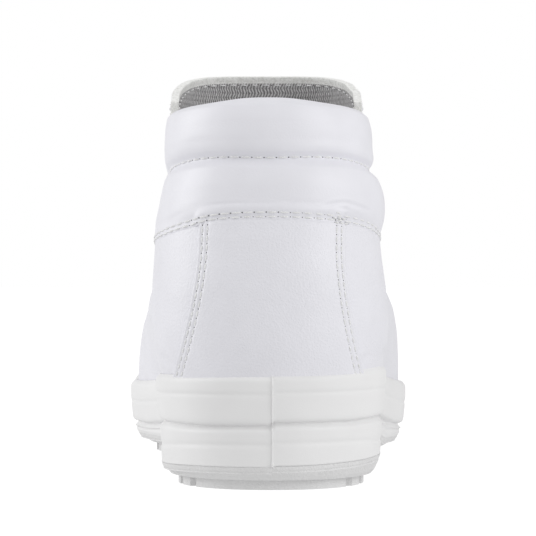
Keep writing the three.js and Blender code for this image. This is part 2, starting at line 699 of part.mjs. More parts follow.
// High panel up the front of the shaft, with a rounded top.
function makeFrontFlap() {
  const rows = 8;
  const columns = 18;
  const place = (share, across) => {
    const reach = Math.abs(across) * (1 - turnOf(FLAP_EDGE.top));
    const along = (1 + Math.cos(Math.PI * reach)) / 2;
    const sunk = sideDip(COLLAR_HEIGHT) * Math.sin(Math.PI * along) - FRONT_RISE * along;
    const corner = FLAP_CORNER_DROP * Math.abs(across) ** FLAP_CORNER_SHARP;
    const crown = FLAP_HEIGHT + sunk - corner;
    const level = mix(TOPLINE_HEIGHT + GAP, crown, share);
    return { turn: 1 + across * (1 - turnOf(flapEdge(level))), height: level };
  };
  return wallGeometry(shaft, grid(rows, columns, place), false, 0, -FLAP_THICKNESS);
}

const boot = new THREE.Group();
boot.position.x = BALL_OFFSET;
function addPiece(name, geometry, colour, roughness) {
  const material = new THREE.MeshStandardMaterial({ color: colour, roughness, metalness: 0 });
  const mesh = new THREE.Mesh(geometry, material);
  mesh.name = name;
  boot.add(mesh);
}

addPiece("outsole", makeOutsole(), 0xe9e8e4, 0.6);
addPiece("midsole", makeMidsole(), 0xe9e8e4, 0.5);
addPiece("upper", makeUpper(), 0xeeeef2, 0.45);
addPiece("insole", makeInsole(), 0x9a9a98, 0.9);
addPiece("heel_panel", makeHeelPanel(), 0xe6e6ea, 0.45);
addPiece("collar_lower", makeRoll(TOPLINE_HEIGHT + GAP, ROLL_SEAM_HEIGHT - GAP / 2), 0xececf0, 0.45);
addPiece("collar_upper", makeRoll(ROLL_SEAM_HEIGHT + GAP / 2, COLLAR_HEIGHT), 0xececf0, 0.45);
addPiece("gusset_lateral", makeGusset(1), 0xdcdcdc, 0.8);
addPiece("gusset_medial", makeGusset(-1), 0xdcdcdc, 0.8);
addPiece("front_flap", makeFrontFlap(), 0xe8e8e8, 0.6);

export default boot;
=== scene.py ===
# White ankle safety boot for the right foot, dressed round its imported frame.
# Metres, +Z up. The toe points to +Y and the lateral side to +X.

import math

import bpy
import numpy as np
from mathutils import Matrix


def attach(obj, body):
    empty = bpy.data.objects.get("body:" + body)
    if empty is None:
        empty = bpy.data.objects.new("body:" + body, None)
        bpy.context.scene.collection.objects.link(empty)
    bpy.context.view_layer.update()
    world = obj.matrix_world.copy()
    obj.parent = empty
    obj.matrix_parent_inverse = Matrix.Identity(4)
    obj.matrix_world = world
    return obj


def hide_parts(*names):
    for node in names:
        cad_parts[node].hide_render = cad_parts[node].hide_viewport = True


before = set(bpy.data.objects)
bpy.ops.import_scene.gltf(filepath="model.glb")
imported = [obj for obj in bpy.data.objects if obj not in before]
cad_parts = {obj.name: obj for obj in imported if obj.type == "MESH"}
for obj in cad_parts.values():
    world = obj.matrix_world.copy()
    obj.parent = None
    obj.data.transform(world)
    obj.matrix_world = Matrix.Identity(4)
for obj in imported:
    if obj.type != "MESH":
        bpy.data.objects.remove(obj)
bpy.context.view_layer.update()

# Driving sizes of the boot, as its solids have them
BOOT_LENGTH = 0.300
BALL_WIDTH = 0.111
BALL_OFFSET = 0.0015
HEEL_WIDTH = 0.0816
HEEL_STACK = 0.040
SOLE_LIP = 0.003
CUP_DEPTH = 0.006
LUG_HEIGHT = 0.0035
TREAD_INSET = 0.008
BALL_TREAD_INSET = 0.0106
GROOVE_WIDTH = 0.0036
GROOVE_PITCH = 0.010
EDGE_LUG_WIDTH = 0.009
WALL = 0.0022
TOPLINE_HEIGHT = 0.0936
ROLL_SEAM_HEIGHT = TOPLINE_HEIGHT + 0.020
COLLAR_HEIGHT = ROLL_SEAM_HEIGHT + 0.021
FLAP_HEIGHT = COLLAR_HEIGHT + 0.0138
RIDGE_TOP = FLAP_HEIGHT + 0.0126
SHAFT_WIDTH = 0.074
HEEL_ROUND = 0.043
TOE_ROUND = 0.076
TOE_CAP_ROUND = 0.022
TOE_DRIFT = 0.008
SHAFT_LEAN = 0.001
FRONT_DRIFT = 0.001
FRONT_RISE = 0.005
FLAP_THICKNESS = 0.003
GUSSET_THICKNESS = 0.002
PANEL_THICKNESS = 0.0012
PANEL_WIDTH = 0.0499
PANEL_FOOT_DRIFT = 0.0008
INSOLE_THICKNESS = 0.004
ROLL_EDGE = 0.0032
ROLL_FILL = 0.0026
GUSSET_RECESS = 0.0008
GUSSET_TOP = COLLAR_HEIGHT - 0.0076
FLAP_CORNER_DROP = 0.012
FLAP_CORNER_SHARP = 2.7
SIDE_DIP = {"top_line": 0.010, "collar": 0.0055}
GAP = 0.0003
INSOLE_PLAY = 0.0007
ROLL_FADE_START = 0.4
ROLL_FADE = 0.16
ROLL_NOTCH = 0.95
BELLY = 0.36
COLLAR_END = {"top": 0.53, "foot": 0.585}
FLAP_EDGE = {"top": 0.63, "foot": 0.64}
FRONT_PACE = 1.12
HEEL_SHARP = 2.15
TOE_SHARP = 2.35
PANEL_FOOT = 1.3
PANEL_FLARE = {"reach": 0.8, "sharp": 1.6}
STRETCH = {"width": (0.26, 0.56), "centre": (0.3, 0.58), "inset": (0.35, 0.55), "toe": (0.7, 1)}
HEEL_TREAD_END = 0.272
BALL_TREAD_START = 0.485

# Feather line by station: half widths as shares of the sole's, at the line and at the belly above it
FEATHER = {
    "s": (0, 0.12, 0.26, 0.41, 0.52, 0.59, 0.66, 0.78, 0.9, 1),
    "lateral": (0.99, 1, 0.985, 0.88, 0.93, 1, 0.995, 0.965, 0.9, 0.83),
    "medial": (0.99, 1, 0.935, 0.72, 0.765, 0.9, 1, 0.98, 0.91, 0.84),
    "lateral_belly": (1.02, 1.025, 1.045, 0.955, 0.93, 0.955, 0.965, 0.94, 0.88, 0.81),
    "medial_belly": (1.02, 1.025, 1.045, 0.945, 0.865, 0.895, 0.937, 0.935, 0.885, 0.82),
}

# Lines of the sole's side by station, as shares of the heel stack
SOLE_LINES = {
    "s": (0, 0.05, 0.265, 0.31, 0.44, 0.49, 0.6, 0.73, 0.88, 1),
    "tread": (0, 0, 0, 0.15, 0.15, 0, 0, 0, 0.1, 0.3),
    "ledge": (0.222, 0.222, 0.222, 0.285, 0.27, 0.2, 0.185, 0.185, 0.27, 0.46),
    "crease": (0.4, 0.4, 0.395, 0.4, 0.35, 0.28, 0.24, 0.24, 0.33, 0.52),
    "step": (0.585, 0.585, 0.565, 0.545, 0.435, 0.37, 0.3, 0.3, 0.39, 0.58),
    "ridge": (0.84, 0.84, 0.81, 0.785, 0.66, 0.59, 0.515, 0.505, 0.58, 0.77),
    "top": (1, 1, 0.97, 0.945, 0.84, 0.79, 0.72, 0.7, 0.78, 0.97),
}

# How much higher each line lies on one side of the heel's mould seam, by station, in the same shares
LINE_LIFT = {
    1: {
        "s": (0, 0.03, 0.12, 0.35, 1),
        "ledge": (-0.01, 0.006, 0.03, 0, 0),
        "crease": (0.008, 0.008, -0.02, 0, 0),
        "step": (0.001, -0.002, 0.014, 0, 0),
        "ridge": (0, 0.002, 0, 0, 0),
        "top": (-0.01, 0.012, 0.037, 0, 0),
    },
    -1: {
        "s": (0, 0.03, 0.12, 0.35, 1),
        "ledge": (-0.02, -0.024, -0.04, 0, 0),
        "crease": (-0.008, -0.015, -0.055, 0, 0),
        "step": (-0.022, -0.034, -0.03, 0, 0),
        "ridge": (-0.015, -0.02, -0.04, 0, 0),
        "top": (-0.015, -0.022, -0.04, 0, 0),
    },
}

# Side of the sole: the line, the rise above it as a share of the heel stack, and the insets at the heel and
# from the ball on as shares of the lip
MIDSOLE_SIDE = (
    ("ledge", 0.001, 0.7, 1),
    ("crease", -0.02, 0.63, 0.77),
    ("crease", 0, 0.8, 0.93),
    ("crease", 0.02, 0.6, 0.7),
    ("step", -0.05, 0.5, 0.58),
    ("step", -0.0025, 1.2, 1.15),
    ("step", 0.0125, 0.4, 0.4),
    ("step", 0.045, 0.27, 0.27),
    ("ridge", -0.015, 0.07, 0.07),
    ("ridge", 0, 0.23, 0.23),
    ("ridge", 0.015, 0, 0),
    ("top", -0.0375, 0, 0),
    ("top", 0, 0.5, 0.5),
)
LUG_SHARE = LUG_HEIGHT / HEEL_STACK
OUTSOLE_SIDE = (
    ("tread", LUG_SHARE, 1.73, 2.87),
    ("tread", LUG_SHARE + 0.03, 1.37, 2.13),
    ("ledge", -0.055, 0.86, 1.37),
    ("ledge", -0.045, 0.95, 1.44),
    ("ledge", -0.035, 0.8, 1.25),
    ("ledge", 0, 0.67, 1.03),
)


def mix(a, b, t):
    return a + (b - a) * t


def clamp01(t):
    return np.clip(t, 0, 1)


def smooth(t):
    return clamp01(t) ** 2 * (3 - 2 * clamp01(t))


def in_lower_roll(share):
    return mix(TOPLINE_HEIGHT, ROLL_SEAM_HEIGHT, share)


def in_upper_roll(share):
    return mix(ROLL_SEAM_HEIGHT, COLLAR_HEIGHT, share)


# Shaft by its height at the back. The other columns are shares of half the shaft width.
SHAFT = {
    "level": (
        HEEL_STACK - CUP_DEPTH, 0.5 * TOPLINE_HEIGHT, 0.7 * TOPLINE_HEIGHT, 0.9 * TOPLINE_HEIGHT,
        TOPLINE_HEIGHT, in_lower_roll(0.22), in_lower_roll(0.5), in_lower_roll(0.82), ROLL_SEAM_HEIGHT,
        in_upper_roll(0.12), in_upper_roll(0.38), in_upper_roll(0.62), in_upper_roll(0.86),
        COLLAR_HEIGHT, FLAP_HEIGHT,
    ),
    "set_in": (
        0, -0.027, -0.005, 0.097, 0.151, 0.124, 0.135, 0.189, 0.254, 0.216, 0.189, 0.2, 0.243, 0.324, 0.351,
    ),
    "rolled": (1.06, 1.06, 1.06, 1.065, 1.08, 1.095, 1.08, 1.03, 0.95, 0.98, 1, 0.995, 0.97, 0.9, 0.9),
    "plain": (1.06, 1.06, 1.06, 1.06, 1.05, 1.04, 1.02, 0.99, 0.98, 0.975, 0.97, 0.965, 0.96, 0.96, 0.96),
}

# Ridge of the upper from the toe cap over the vamp and up the front of the shaft
RIDGE = {
    "q": (0, 0.1, 0.24, 0.4, 0.56, 0.7, 0.83, 0.92, 1),
    "y": (1.08, 0.91, 0.81, 0.705, 0.605, 0.525, 0.475, 0.452, 0.436),
    "z": (0.7, 0.725, 0.785, 0.865, 0.965, 1.08, 1.23, 1.4, RIDGE_TOP / TOPLINE_HEIGHT),
    "round": (0.72, 0.78, 0.9, 1.05, 1.1, 1, 0.9, 0.84, 0.84),
    "sharp": (2.5, 2.5, 2.7, 2.8, 2.7, 2.5, 2.5, 2.6, 2.6),
}
RIDGE_STEPS = 90
TOE_WALL_STEPS = 24
VAMP_STEPS = 60
TURN_STEP = 0.004
LEVEL_STEP = 0.0003

FEATHER_LENGTH = BOOT_LENGTH - 2 * SOLE_LIP
HEEL_END = -FEATHER_LENGTH / 2
TOE_END = FEATHER_LENGTH / 2


def column(rows, name, key):
    """Smooth curve through one column of a table, which never swings past its rows."""
    x = np.array(rows[key], float)
    f = np.array(rows[name], float)
    secants = np.diff(f) / np.diff(x)
    before, after = secants[:-1], secants[1:]
    turning = before * after > 0
    slopes = np.empty(len(x))
    slopes[0], slopes[-1] = secants[0], secants[-1]
    slopes[1:-1] = np.where(turning, 2 * before * after / np.where(turning, before + after, 1), 0)

    def at(place):
        here = np.clip(place, x[0], x[-1])
        i = np.clip(np.searchsorted(x, here, side="right") - 1, 0, len(x) - 2)
        span = x[i + 1] - x[i]
        t = (here - x[i]) / span
        rise = t * t * (3 - 2 * t) * (f[i + 1] - f[i])
        return f[i] + rise + t * (1 - t) ** 2 * slopes[i] * span - t * t * (1 - t) * slopes[i + 1] * span

    return at


feather = {name: column(FEATHER, name, "s") for name in FEATHER if name != "s"}
sole_share = {name: column(SOLE_LINES, name, "s") for name in SOLE_LINES if name != "s"}
line_lift = {
    side: {name: column(rows, name, "s") for name in rows if name != "s"} for side, rows in LINE_LIFT.items()
}
set_in_share = column(SHAFT, "set_in", "level")
rolled_share = column(SHAFT, "rolled", "level")
plain_share = column(SHAFT, "plain", "level")

ridge_q = np.linspace(0, 1, RIDGE_STEPS + 1)
ridge_y = HEEL_END + column(RIDGE, "y", "q")(ridge_q) * FEATHER_LENGTH
ridge_z = column(RIDGE, "z", "q")(ridge_q) * TOPLINE_HEIGHT
ridge_round = column(RIDGE, "round", "q")(ridge_q) * BALL_WIDTH / 2
ridge_sharp = column(RIDGE, "sharp", "q")(ridge_q)


def passed(s, stretch):
    return smooth((s - stretch[0]) / (stretch[1] - stretch[0]))


def shaft_half(level, along):
    share = mix(rolled_share(level), plain_share(level), smooth((along - ROLL_FADE_START) / ROLL_FADE))
    return share * SHAFT_WIDTH / 2


def set_in(level):
    return set_in_share(level) * SHAFT_WIDTH / 2


def rounded(t, sharpness):
    return (1 - (1 - clamp01(t)) ** sharpness) ** (1 / sharpness)


def nearest_ridge(y, z):
    """Distance to the ridge in the side view, with the crown's reach and sharpness there."""
    shape = np.shape(y)
    y, z = np.ravel(y)[:, None], np.ravel(z)[:, None]
    step_y, step_z = np.diff(ridge_y), np.diff(ridge_z)
    along = (y - ridge_y[:-1]) * step_y + (z - ridge_z[:-1]) * step_z
    t = clamp01(along / (step_y**2 + step_z**2))
    gap = np.hypot(y - ridge_y[:-1] - t * step_y, z - ridge_z[:-1] - t * step_z)
    best = gap.argmin(1)
    rows = np.arange(len(best))
    q = (best + t[rows, best]) / RIDGE_STEPS
    reach = np.interp(q, ridge_q, ridge_round)
    sharp = np.interp(q, ridge_q, ridge_sharp)
    return gap[rows, best].reshape(shape), reach.reshape(shape), sharp.reshape(shape)


def ridge_height(y):
    return np.interp(y, ridge_y[::-1], ridge_z[::-1])


def ridge_place(z):
    return np.interp(z, ridge_z, ridge_y)


def station(y):
    return clamp01((y - HEEL_END) / FEATHER_LENGTH)


def sole_line(name, s, side=0):
    share = sole_share[name](s)
    for which, lifts in line_lift.items():
        if name in lifts:
            share = share + np.where(np.sign(side) == which, lifts[name](s), 0)
    return share * HEEL_STACK


def cup_floor(s):
    return sole_line("top", s) - CUP_DEPTH


def feather_z(y):
    return cup_floor(station(y)) + GAP


def centre_line(s):
    return -BALL_OFFSET * passed(s, STRETCH["centre"]) - TOE_DRIFT * passed(s, STRETCH["toe"])


def sole_half(s):
    return mix(HEEL_WIDTH, BALL_WIDTH, passed(s, STRETCH["width"])) / 2


TOE_TOP = float(ridge_height(TOE_END - TOE_CAP_ROUND))


def toe_place(z):
    t = clamp01((z - (TOE_TOP - TOE_CAP_ROUND)) / TOE_CAP_ROUND)
    return TOE_END - TOE_CAP_ROUND * (1 - np.sqrt(1 - t * t))


# Front border of the side view, from the toe's feather line up to the top line's front
FRONT_TOP = TOPLINE_HEIGHT + FRONT_RISE
wall_turn = math.pi / 2 * np.arange(TOE_WALL_STEPS + 1) / TOE_WALL_STEPS
wall_z = mix(feather_z(TOE_END), TOE_TOP, np.sin(wall_turn))
vamp_share = np.arange(1, VAMP_STEPS + 1) / VAMP_STEPS
vamp_y = mix(TOE_END - TOE_CAP_ROUND, ridge_place(FRONT_TOP), vamp_share)
border_y = np.concatenate([toe_place(wall_z), vamp_y])
border_z = np.concatenate([wall_z, ridge_height(vamp_y)])
border_length = np.concatenate([[0], np.cumsum(np.hypot(np.diff(border_y), np.diff(border_z)))])

HEEL_FEATHER_Z = float(feather_z(HEEL_END))
TOE_FEATHER_Z = float(feather_z(TOE_END))


def level_share(level):
    return clamp01((level - TOPLINE_HEIGHT) / (COLLAR_HEIGHT - TOPLINE_HEIGHT))


def side_dip(level):
    return mix(SIDE_DIP["top_line"], SIDE_DIP["collar"], level_share(level))


def half_width(y, z, plateau, back_y):
    distance, reach, sharp = nearest_ridge(y, z)
    heel = rounded((y - back_y) / HEEL_ROUND, HEEL_SHARP)
    toe = rounded((toe_place(np.minimum(z, TOE_TOP)) - y) / TOE_ROUND, TOE_SHARP)
    return plateau * heel * toe * rounded(distance / reach, sharp)


def side_of(turn):
    """A turn runs from the back (0) over the lateral side to the front (1), or over the medial one to -1."""
    u = np.abs(turn)
    side = np.where(turn < 0, -1, 1)
    return np.where(u > 1, -side, side), np.where(u > 1, 2 - u, u)


def foot_point(turn, v):
    side, u = side_of(turn)
    along = (1 - np.cos(math.pi * u)) / 2
    level = mix(HEEL_FEATHER_Z, TOPLINE_HEIGHT, v)
    back_y = HEEL_END + set_in(level)
    goal = v**FRONT_PACE * border_length[-1]
    front_y, front_z = np.interp(goal, border_length, border_y), np.interp(goal, border_length, border_z)
    y = mix(back_y, front_y, along)
    s = station(y)
    sag = (feather_z(y) - mix(HEEL_FEATHER_Z, TOE_FEATHER_Z, s)) * (1 - v) ** 2
    dip = side_dip(level) * np.sin(math.pi * along)
    z = mix(level, front_z, along) + sag - v * v * dip
    outer = side > 0
    low = np.where(outer, feather["lateral"](s), feather["medial"](s)) * (sole_half(s) - SOLE_LIP)
    belly = np.where(outer, feather["lateral_belly"](s), feather["medial_belly"](s)) * sole_half(s)
    high = shaft_half(TOPLINE_HEIGHT, along)
    rising = mix(low, belly, np.sin(math.pi / 2 * clamp01(v / BELLY)))
    plateau = np.where(v < BELLY, rising, mix(belly, high, smooth((v - BELLY) / (1 - BELLY))))
    w = half_width(y, z + v * v * dip, plateau, back_y)
    lean = SHAFT_LEAN * smooth(v) + FRONT_DRIFT * along * v * v
    centre = BALL_OFFSET + centre_line(s) * (1 - v * v) - lean
    return np.stack([centre + side * w, y, z], -1)


def shaft_point(turn, level):
    side, u = side_of(turn)
    along = (1 - np.cos(math.pi * u)) / 2
    back_y = HEEL_END + set_in(level)
    y = mix(back_y, ridge_place(level + FRONT_RISE), along)
    z = level + FRONT_RISE * along
    w = half_width(y, z, shaft_half(level, along), back_y)
    z = z - side_dip(level) * np.sin(math.pi * along)
    centre = BALL_OFFSET - SHAFT_LEAN - FRONT_DRIFT * along
    return np.stack([centre + side * w, y, z], -1)


def boot_point(turn, level):
    """Point of the boot's form. The level is the height that its ring has at the back."""
    turn, level = np.broadcast_arrays(np.asarray(turn, float), np.asarray(level, float))
    v = clamp01((level - HEEL_FEATHER_Z) / (TOPLINE_HEIGHT - HEEL_FEATHER_Z))
    low = (level < TOPLINE_HEIGHT)[..., None]
    return np.where(low, foot_point(turn, v), shaft_point(turn, np.maximum(level, TOPLINE_HEIGHT)))


def unit(v):
    return v / np.maximum(np.linalg.norm(v, axis=-1, keepdims=True), 1e-12)


def boot_normal(turn, level):
    across = boot_point(turn + TURN_STEP, level) - boot_point(turn - TURN_STEP, level)
    above = boot_point(turn, level + LEVEL_STEP)
    below = boot_point(turn, np.maximum(level - LEVEL_STEP, HEEL_FEATHER_Z))
    return unit(np.cross(across, above - below))


def offset_points(turn, level, distance):
    return boot_point(turn, level) + boot_normal(turn, level) * np.asarray(distance)[..., None]


def turn_of(along):
    return np.arccos(1 - 2 * along) / math.pi


def collar_end(level):
    return mix(COLLAR_END["foot"], COLLAR_END["top"], level_share(level))


def flap_edge(level):
    return mix(FLAP_EDGE["foot"], FLAP_EDGE["top"], level_share(level))


MOUTH_DEPTH = float(ridge_place(COLLAR_HEIGHT + FRONT_RISE)) - HEEL_END - float(set_in(COLLAR_HEIGHT))
GAP_SHARE = GAP / MOUTH_DEPTH


def along_line(points, places):
    """Distance of places in a view to a line, and how far along the line the nearest point is, 0 to 1."""
    line = np.array(points, float)
    steps = np.diff(line, axis=0)
    lengths = np.hypot(steps[:, 0], steps[:, 1])
    starts = np.concatenate([[0], np.cumsum(lengths)])
    best = np.full(places.shape[:-1], np.inf)
    share = np.zeros(places.shape[:-1])
    for start, step, length, before in zip(line[:-1], steps, lengths, starts[:-1]):
        t = clamp01(((places - start) @ step) / length**2)
        gap = np.linalg.norm(places - start - t[..., None] * step, axis=-1)
        nearer = gap < best
        share = np.where(nearer, (before + t * length) / starts[-1], share)
        best = np.where(nearer, gap, best)
    return best, share


# Creases of the leather, each a soft trough with a lip on both sides: the view that places it, its width, its
# depth and its points. The points are x and z from the back, or y and z from a side.
CREASES = {
    "collar_lower": (
        ("back", 0.0005, 0.00015, (-0.0225, 0.0972), (-0.012, 0.0978), (0.003, 0.0978)),
        ("back", 0.0011, 0.00016, (0.0045, 0.0979), (0.012, 0.0975), (0.0178, 0.0967)),
        ("back", 0.0006, 0.00032, (0.0172, 0.0963), (0.0222, 0.0977), (0.0262, 0.0979), (0.0304, 0.0968),
         (0.0356, 0.0949)),
        ("back", 0.0005, 0.00025, (0.0226, 0.0965), (0.0278, 0.0958)),
        ("back", 0.0011, 0.0001, (-0.034, 0.0935), (-0.028, 0.0958), (-0.0225, 0.0972)),
        ("lateral", 0.001, 0.0005, (-0.075, 0.098), (-0.062, 0.1)),
        ("medial", 0.001, 0.0005, (-0.078, 0.1), (-0.064, 0.097)),
    ),
    "collar_upper": (
        ("back", 0.002, 0.00013, (-0.03, 0.1175), (-0.018, 0.1182), (-0.004, 0.1178)),
        ("back", 0.002, 0.00013, (0.008, 0.118), (0.02, 0.1186), (0.031, 0.1172)),
        ("lateral", 0.0012, 0.0006, (-0.078, 0.1175), (-0.07, 0.1215)),
        ("medial", 0.0012, 0.0006, (-0.08, 0.1215), (-0.071, 0.118)),
    ),
    "upper": (
        ("back", 0.001, 0.0004, (0.0318, 0.0425), (0.0352, 0.0462)),
        ("back", 0.0012, 0.0003, (-0.0335, 0.0415), (-0.037, 0.046)),
        ("lateral", 0.002, 0.0005, (-0.118, 0.046), (-0.1, 0.043)),
        ("lateral", 0.0035, 0.0007, (0.008, 0.07), (0.02, 0.06), (0.03, 0.049)),
        ("lateral", 0.0035, 0.0006, (0.022, 0.073), (0.034, 0.061), (0.042, 0.05)),
        ("medial", 0.0035, 0.0007, (0.01, 0.071), (0.024, 0.061), (0.036, 0.05)),
        ("medial", 0.0035, 0.0006, (0.026, 0.073), (0.038, 0.061), (0.048, 0.051)),
    ),
}
REAR_END = -0.09
CREASE_TAPER = {"start": 0.15, "pace": 4}
CREASE_LIP = {"height": 0.35, "place": 1.9}


def hill(x):
    return np.exp(-(x**2))


def relief(name, points):
    """Height of a piece's creases at its surface points."""
    total = np.zeros(points.shape[:-1])
    for view, width, depth, *line in CREASES.get(name, ()):
        if view == "back":
            places, shown = points[..., [0, 2]], points[..., 1] < REAR_END
        else:
            places, shown = points[..., [1, 2]], (points[..., 0] > 0) == (view == "lateral")
        distance, share = along_line(line, places)
        taper = smooth(np.minimum(share, 1 - share) * CREASE_TAPER["pace"] + CREASE_TAPER["start"])
        lip = CREASE_LIP["height"] * hill(distance / width - CREASE_LIP["place"])
        total += np.where(shown, (lip - hill(distance / width)) * taper * depth, 0)
    return total


class Skin:
    """Gathers corners, faces and each face's material number into one mesh."""

    def __init__(self):
        self.corners = []
        self.weave = []
        self.faces = []
        self.slots = []
        self.count = 0

    def add_grid(self, points, weave=None):
        """Adds corners, with the place of each in a woven or knitted lining as lengths along and up it."""
        numbers = self.count + np.arange(points[..., 0].size).reshape(points.shape[:-1])
        self.corners.append(points.reshape(-1, 3))
        self.weave.append(np.zeros((numbers.size, 2)) if weave is None else weave.reshape(-1, 2))
        self.count += numbers.size
        return numbers

    def quads(self, a, b, c, d, slot=0):
        faces = np.stack([np.ravel(a), np.ravel(b), np.ravel(c), np.ravel(d)], -1)
        self.faces.append(faces)
        self.slots.append(np.broadcast_to(np.ravel(slot), len(faces)).copy())

    def sheet(self, grid, closed, slot=0, flip=False):
        """Faces between the rows of a grid of corners, which run round a ring or end."""
        ahead = np.roll(grid, -1, 1) if closed else grid[:, 1:]
        here = grid if closed else grid[:, :-1]
        corners = [here[:-1], ahead[:-1], ahead[1:], here[1:]]
        self.quads(*(reversed(corners) if flip else corners), slot)

    def lid(self, row, up, slot=0):
        """Lid across a ring whose lateral corners are joined to the medial ones."""
        count = len(row)
        i = np.arange(1, count // 2 - 1)
        corners = [row[i], row[i + 1], row[count - i - 1], row[count - i]]
        self.quads(*(corners if up else reversed(corners)), slot)
        ends = [(row[0], row[1], row[-1]), (row[count // 2 - 1], row[count // 2], row[count // 2 + 1])]
        triangles = np.array([end if up else end[::-1] for end in ends])
        self.faces.append(triangles)
        self.slots.append(np.full(2, np.ravel(slot)[0]))

    def tube(self, rings, slot=0):
        """Closed tube through rings of eight corners."""
        grid = self.add_grid(rings)
        self.sheet(grid, True, slot)
        for fan in (grid[0, ::-1], grid[-1]):
            for k in (1, 3, 5):
                self.quads(fan[0], fan[k], fan[k + 1], fan[k + 2], slot)

    def finish(self, name, materials):
        mesh = bpy.data.meshes.new(name)
        faces = [face for part in self.faces for face in part.tolist()]
        mesh.from_pydata(np.concatenate(self.corners).tolist(), [], faces)
        for material in materials:
            mesh.materials.append(material)
        mesh.polygons.foreach_set("material_index", np.concatenate(self.slots).astype(np.int32))
        mesh.polygons.foreach_set("use_smooth", np.ones(len(faces), bool))
        corner_of = np.empty(len(mesh.loops), np.int32)
        mesh.loops.foreach_get("vertex_index", corner_of)
        weave = mesh.uv_layers.new(name="weave")
        weave.data.foreach_set("uv", np.concatenate(self.weave)[corner_of].ravel())
        mesh.update()
        piece = bpy.data.objects.new(name, mesh)
        bpy.context.scene.collection.objects.link(piece)
        return piece


def run_length(row):
    """Length along a row of points, from its first one."""
    return np.concatenate([[0], np.cumsum(np.linalg.norm(np.diff(row, axis=0), axis=1))])


def weave_places(grid, closed):
    """Lengths along and up a wall. Round a ring they grow from the back to the front on either side."""
    middle = grid[len(grid) // 2]
    length = run_length(np.concatenate([middle, middle[:1]]) if closed else middle)
    along = np.minimum(length, length[-1] - length)[:-1] if closed else length
    return np.stack([np.broadcast_to(along, grid.shape[:2]), grid[..., 2]], -1)


def wall_skin(outer, inner, closed, outer_slot=0, inner_slot=0, rim_slot=0):
    """Closed wall between two grids of points, whose rows run from foot to top."""
    skin = Skin()
    weave = weave_places(outer, closed)
    out, back = skin.add_grid(outer, weave), skin.add_grid(inner, weave)
    skin.sheet(out, closed, outer_slot)
    skin.sheet(back, closed, inner_slot, flip=True)
    skin.sheet(np.stack([out[-1], back[-1]]), closed, rim_slot)
    skin.sheet(np.stack([back[0], out[0]]), closed, rim_slot)
    if not closed:
        skin.quads(out[:-1, 0], out[1:, 0], back[1:, 0], back[:-1, 0], rim_slot)
        skin.quads(back[:-1, -1], back[1:, -1], out[1:, -1], out[:-1, -1], rim_slot)
    return skin


def soften(piece, width, segments=3, angle=50):
    """Rounds the sharp edges of a piece."""
    bevel = piece.modifiers.new("soft_edge", "BEVEL")
    bevel.width = width
    bevel.segments = segments
    bevel.limit_method = "ANGLE"
    bevel.angle_limit = math.radians(angle)


def place(piece, slot, *nodes):
    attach(piece, "root")
    if nodes:
        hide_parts(*nodes)


# Materials

class Paint:
    """A material and the nodes that paint it."""

    def __init__(self, name, colour, roughness):
        self.material = bpy.data.materials.new(name)
        self.material.use_nodes = True
        self.material.diffuse_color = (*colour, 1)
        self.nodes = self.material.node_tree.nodes
        self.links = self.material.node_tree.links
        self.shader = self.nodes["Principled BSDF"]
        self.give("Base Color", (*colour, 1))
        self.give("Roughness", roughness)

    def feed(self, socket, value):
        """Sets a socket to a value, or links it to a node's output."""
        if isinstance(value, (int, float, tuple)):
            socket.default_value = value
        else:
            self.links.new(value, socket)

    def give(self, socket, value):
        self.feed(self.shader.inputs[socket], value)

    def texture(self, kind, **values):
        """Texture in the object's own coordinates."""
        node = self.nodes.new(kind)
        for socket, value in values.items():
            node.inputs[socket].default_value = value
        self.links.new(self.nodes.new("ShaderNodeTexCoord").outputs["Object"], node.inputs["Vector"])
        return node

    def noise(self, scale, detail=3, roughness=0.55):
        noise = self.texture("ShaderNodeTexNoise", Scale=scale, Detail=detail, Roughness=roughness)
        return noise.outputs["Fac"]

    def cells(self, scale):
        node = self.texture("ShaderNodeTexVoronoi", Scale=scale)
        node.feature = "SMOOTH_F1"
        return node.outputs["Distance"]

    def ramp(self, value, *stops):
        node = self.nodes.new("ShaderNodeValToRGB")
        elements = node.color_ramp.elements
        while len(elements) < len(stops):
            elements.new(0.5)
        for element, (position, colour) in zip(elements, stops):
            element.position = position
            element.color = (*colour, 1)
        self.links.new(value, node.inputs["Fac"])
        return node.outputs["Color"]

    def colour(self, value, *stops):
        self.give("Base Color", self.ramp(value, *stops))

    def vary(self, value, colour, spread):
        """Colours the surface a little darker and lighter than a colour."""
        darker = tuple(max(0, c * (1 - spread)) for c in colour)
        lighter = tuple(min(1, c * (1 + spread)) for c in colour)
        self.colour(value, (0.3, darker), (0.7, lighter))

    def maths(self, operation, *values):
        node = self.nodes.new("ShaderNodeMath")
        node.operation = operation
        for socket, value in zip(node.inputs, values):
            self.feed(socket, value)
        return node.outputs["Value"]

    def bump(self, height, strength, distance, under=None):
        node = self.nodes.new("ShaderNodeBump")
        node.inputs["Strength"].default_value = strength
        node.inputs["Distance"].default_value = distance
        self.links.new(height, node.inputs["Height"])
        if under is not None:
            self.links.new(under, node.inputs["Normal"])
        self.give("Normal", node.outputs["Normal"])
        return node.outputs["Normal"]


def grey(tone):
    return tone, tone, tone


LEATHER_COLOUR = (0.815, 0.812, 0.858)
SOLE_COLOUR = (0.822, 0.82, 0.822)
TREAD_SHADE = 0.95
GRAIN = {"grained": 0.42, "smooth": 0.12}
STRAND_ROW = 0.0018
STRAND_LEAN = 0.42
STRAND_PITCH = 0.0012


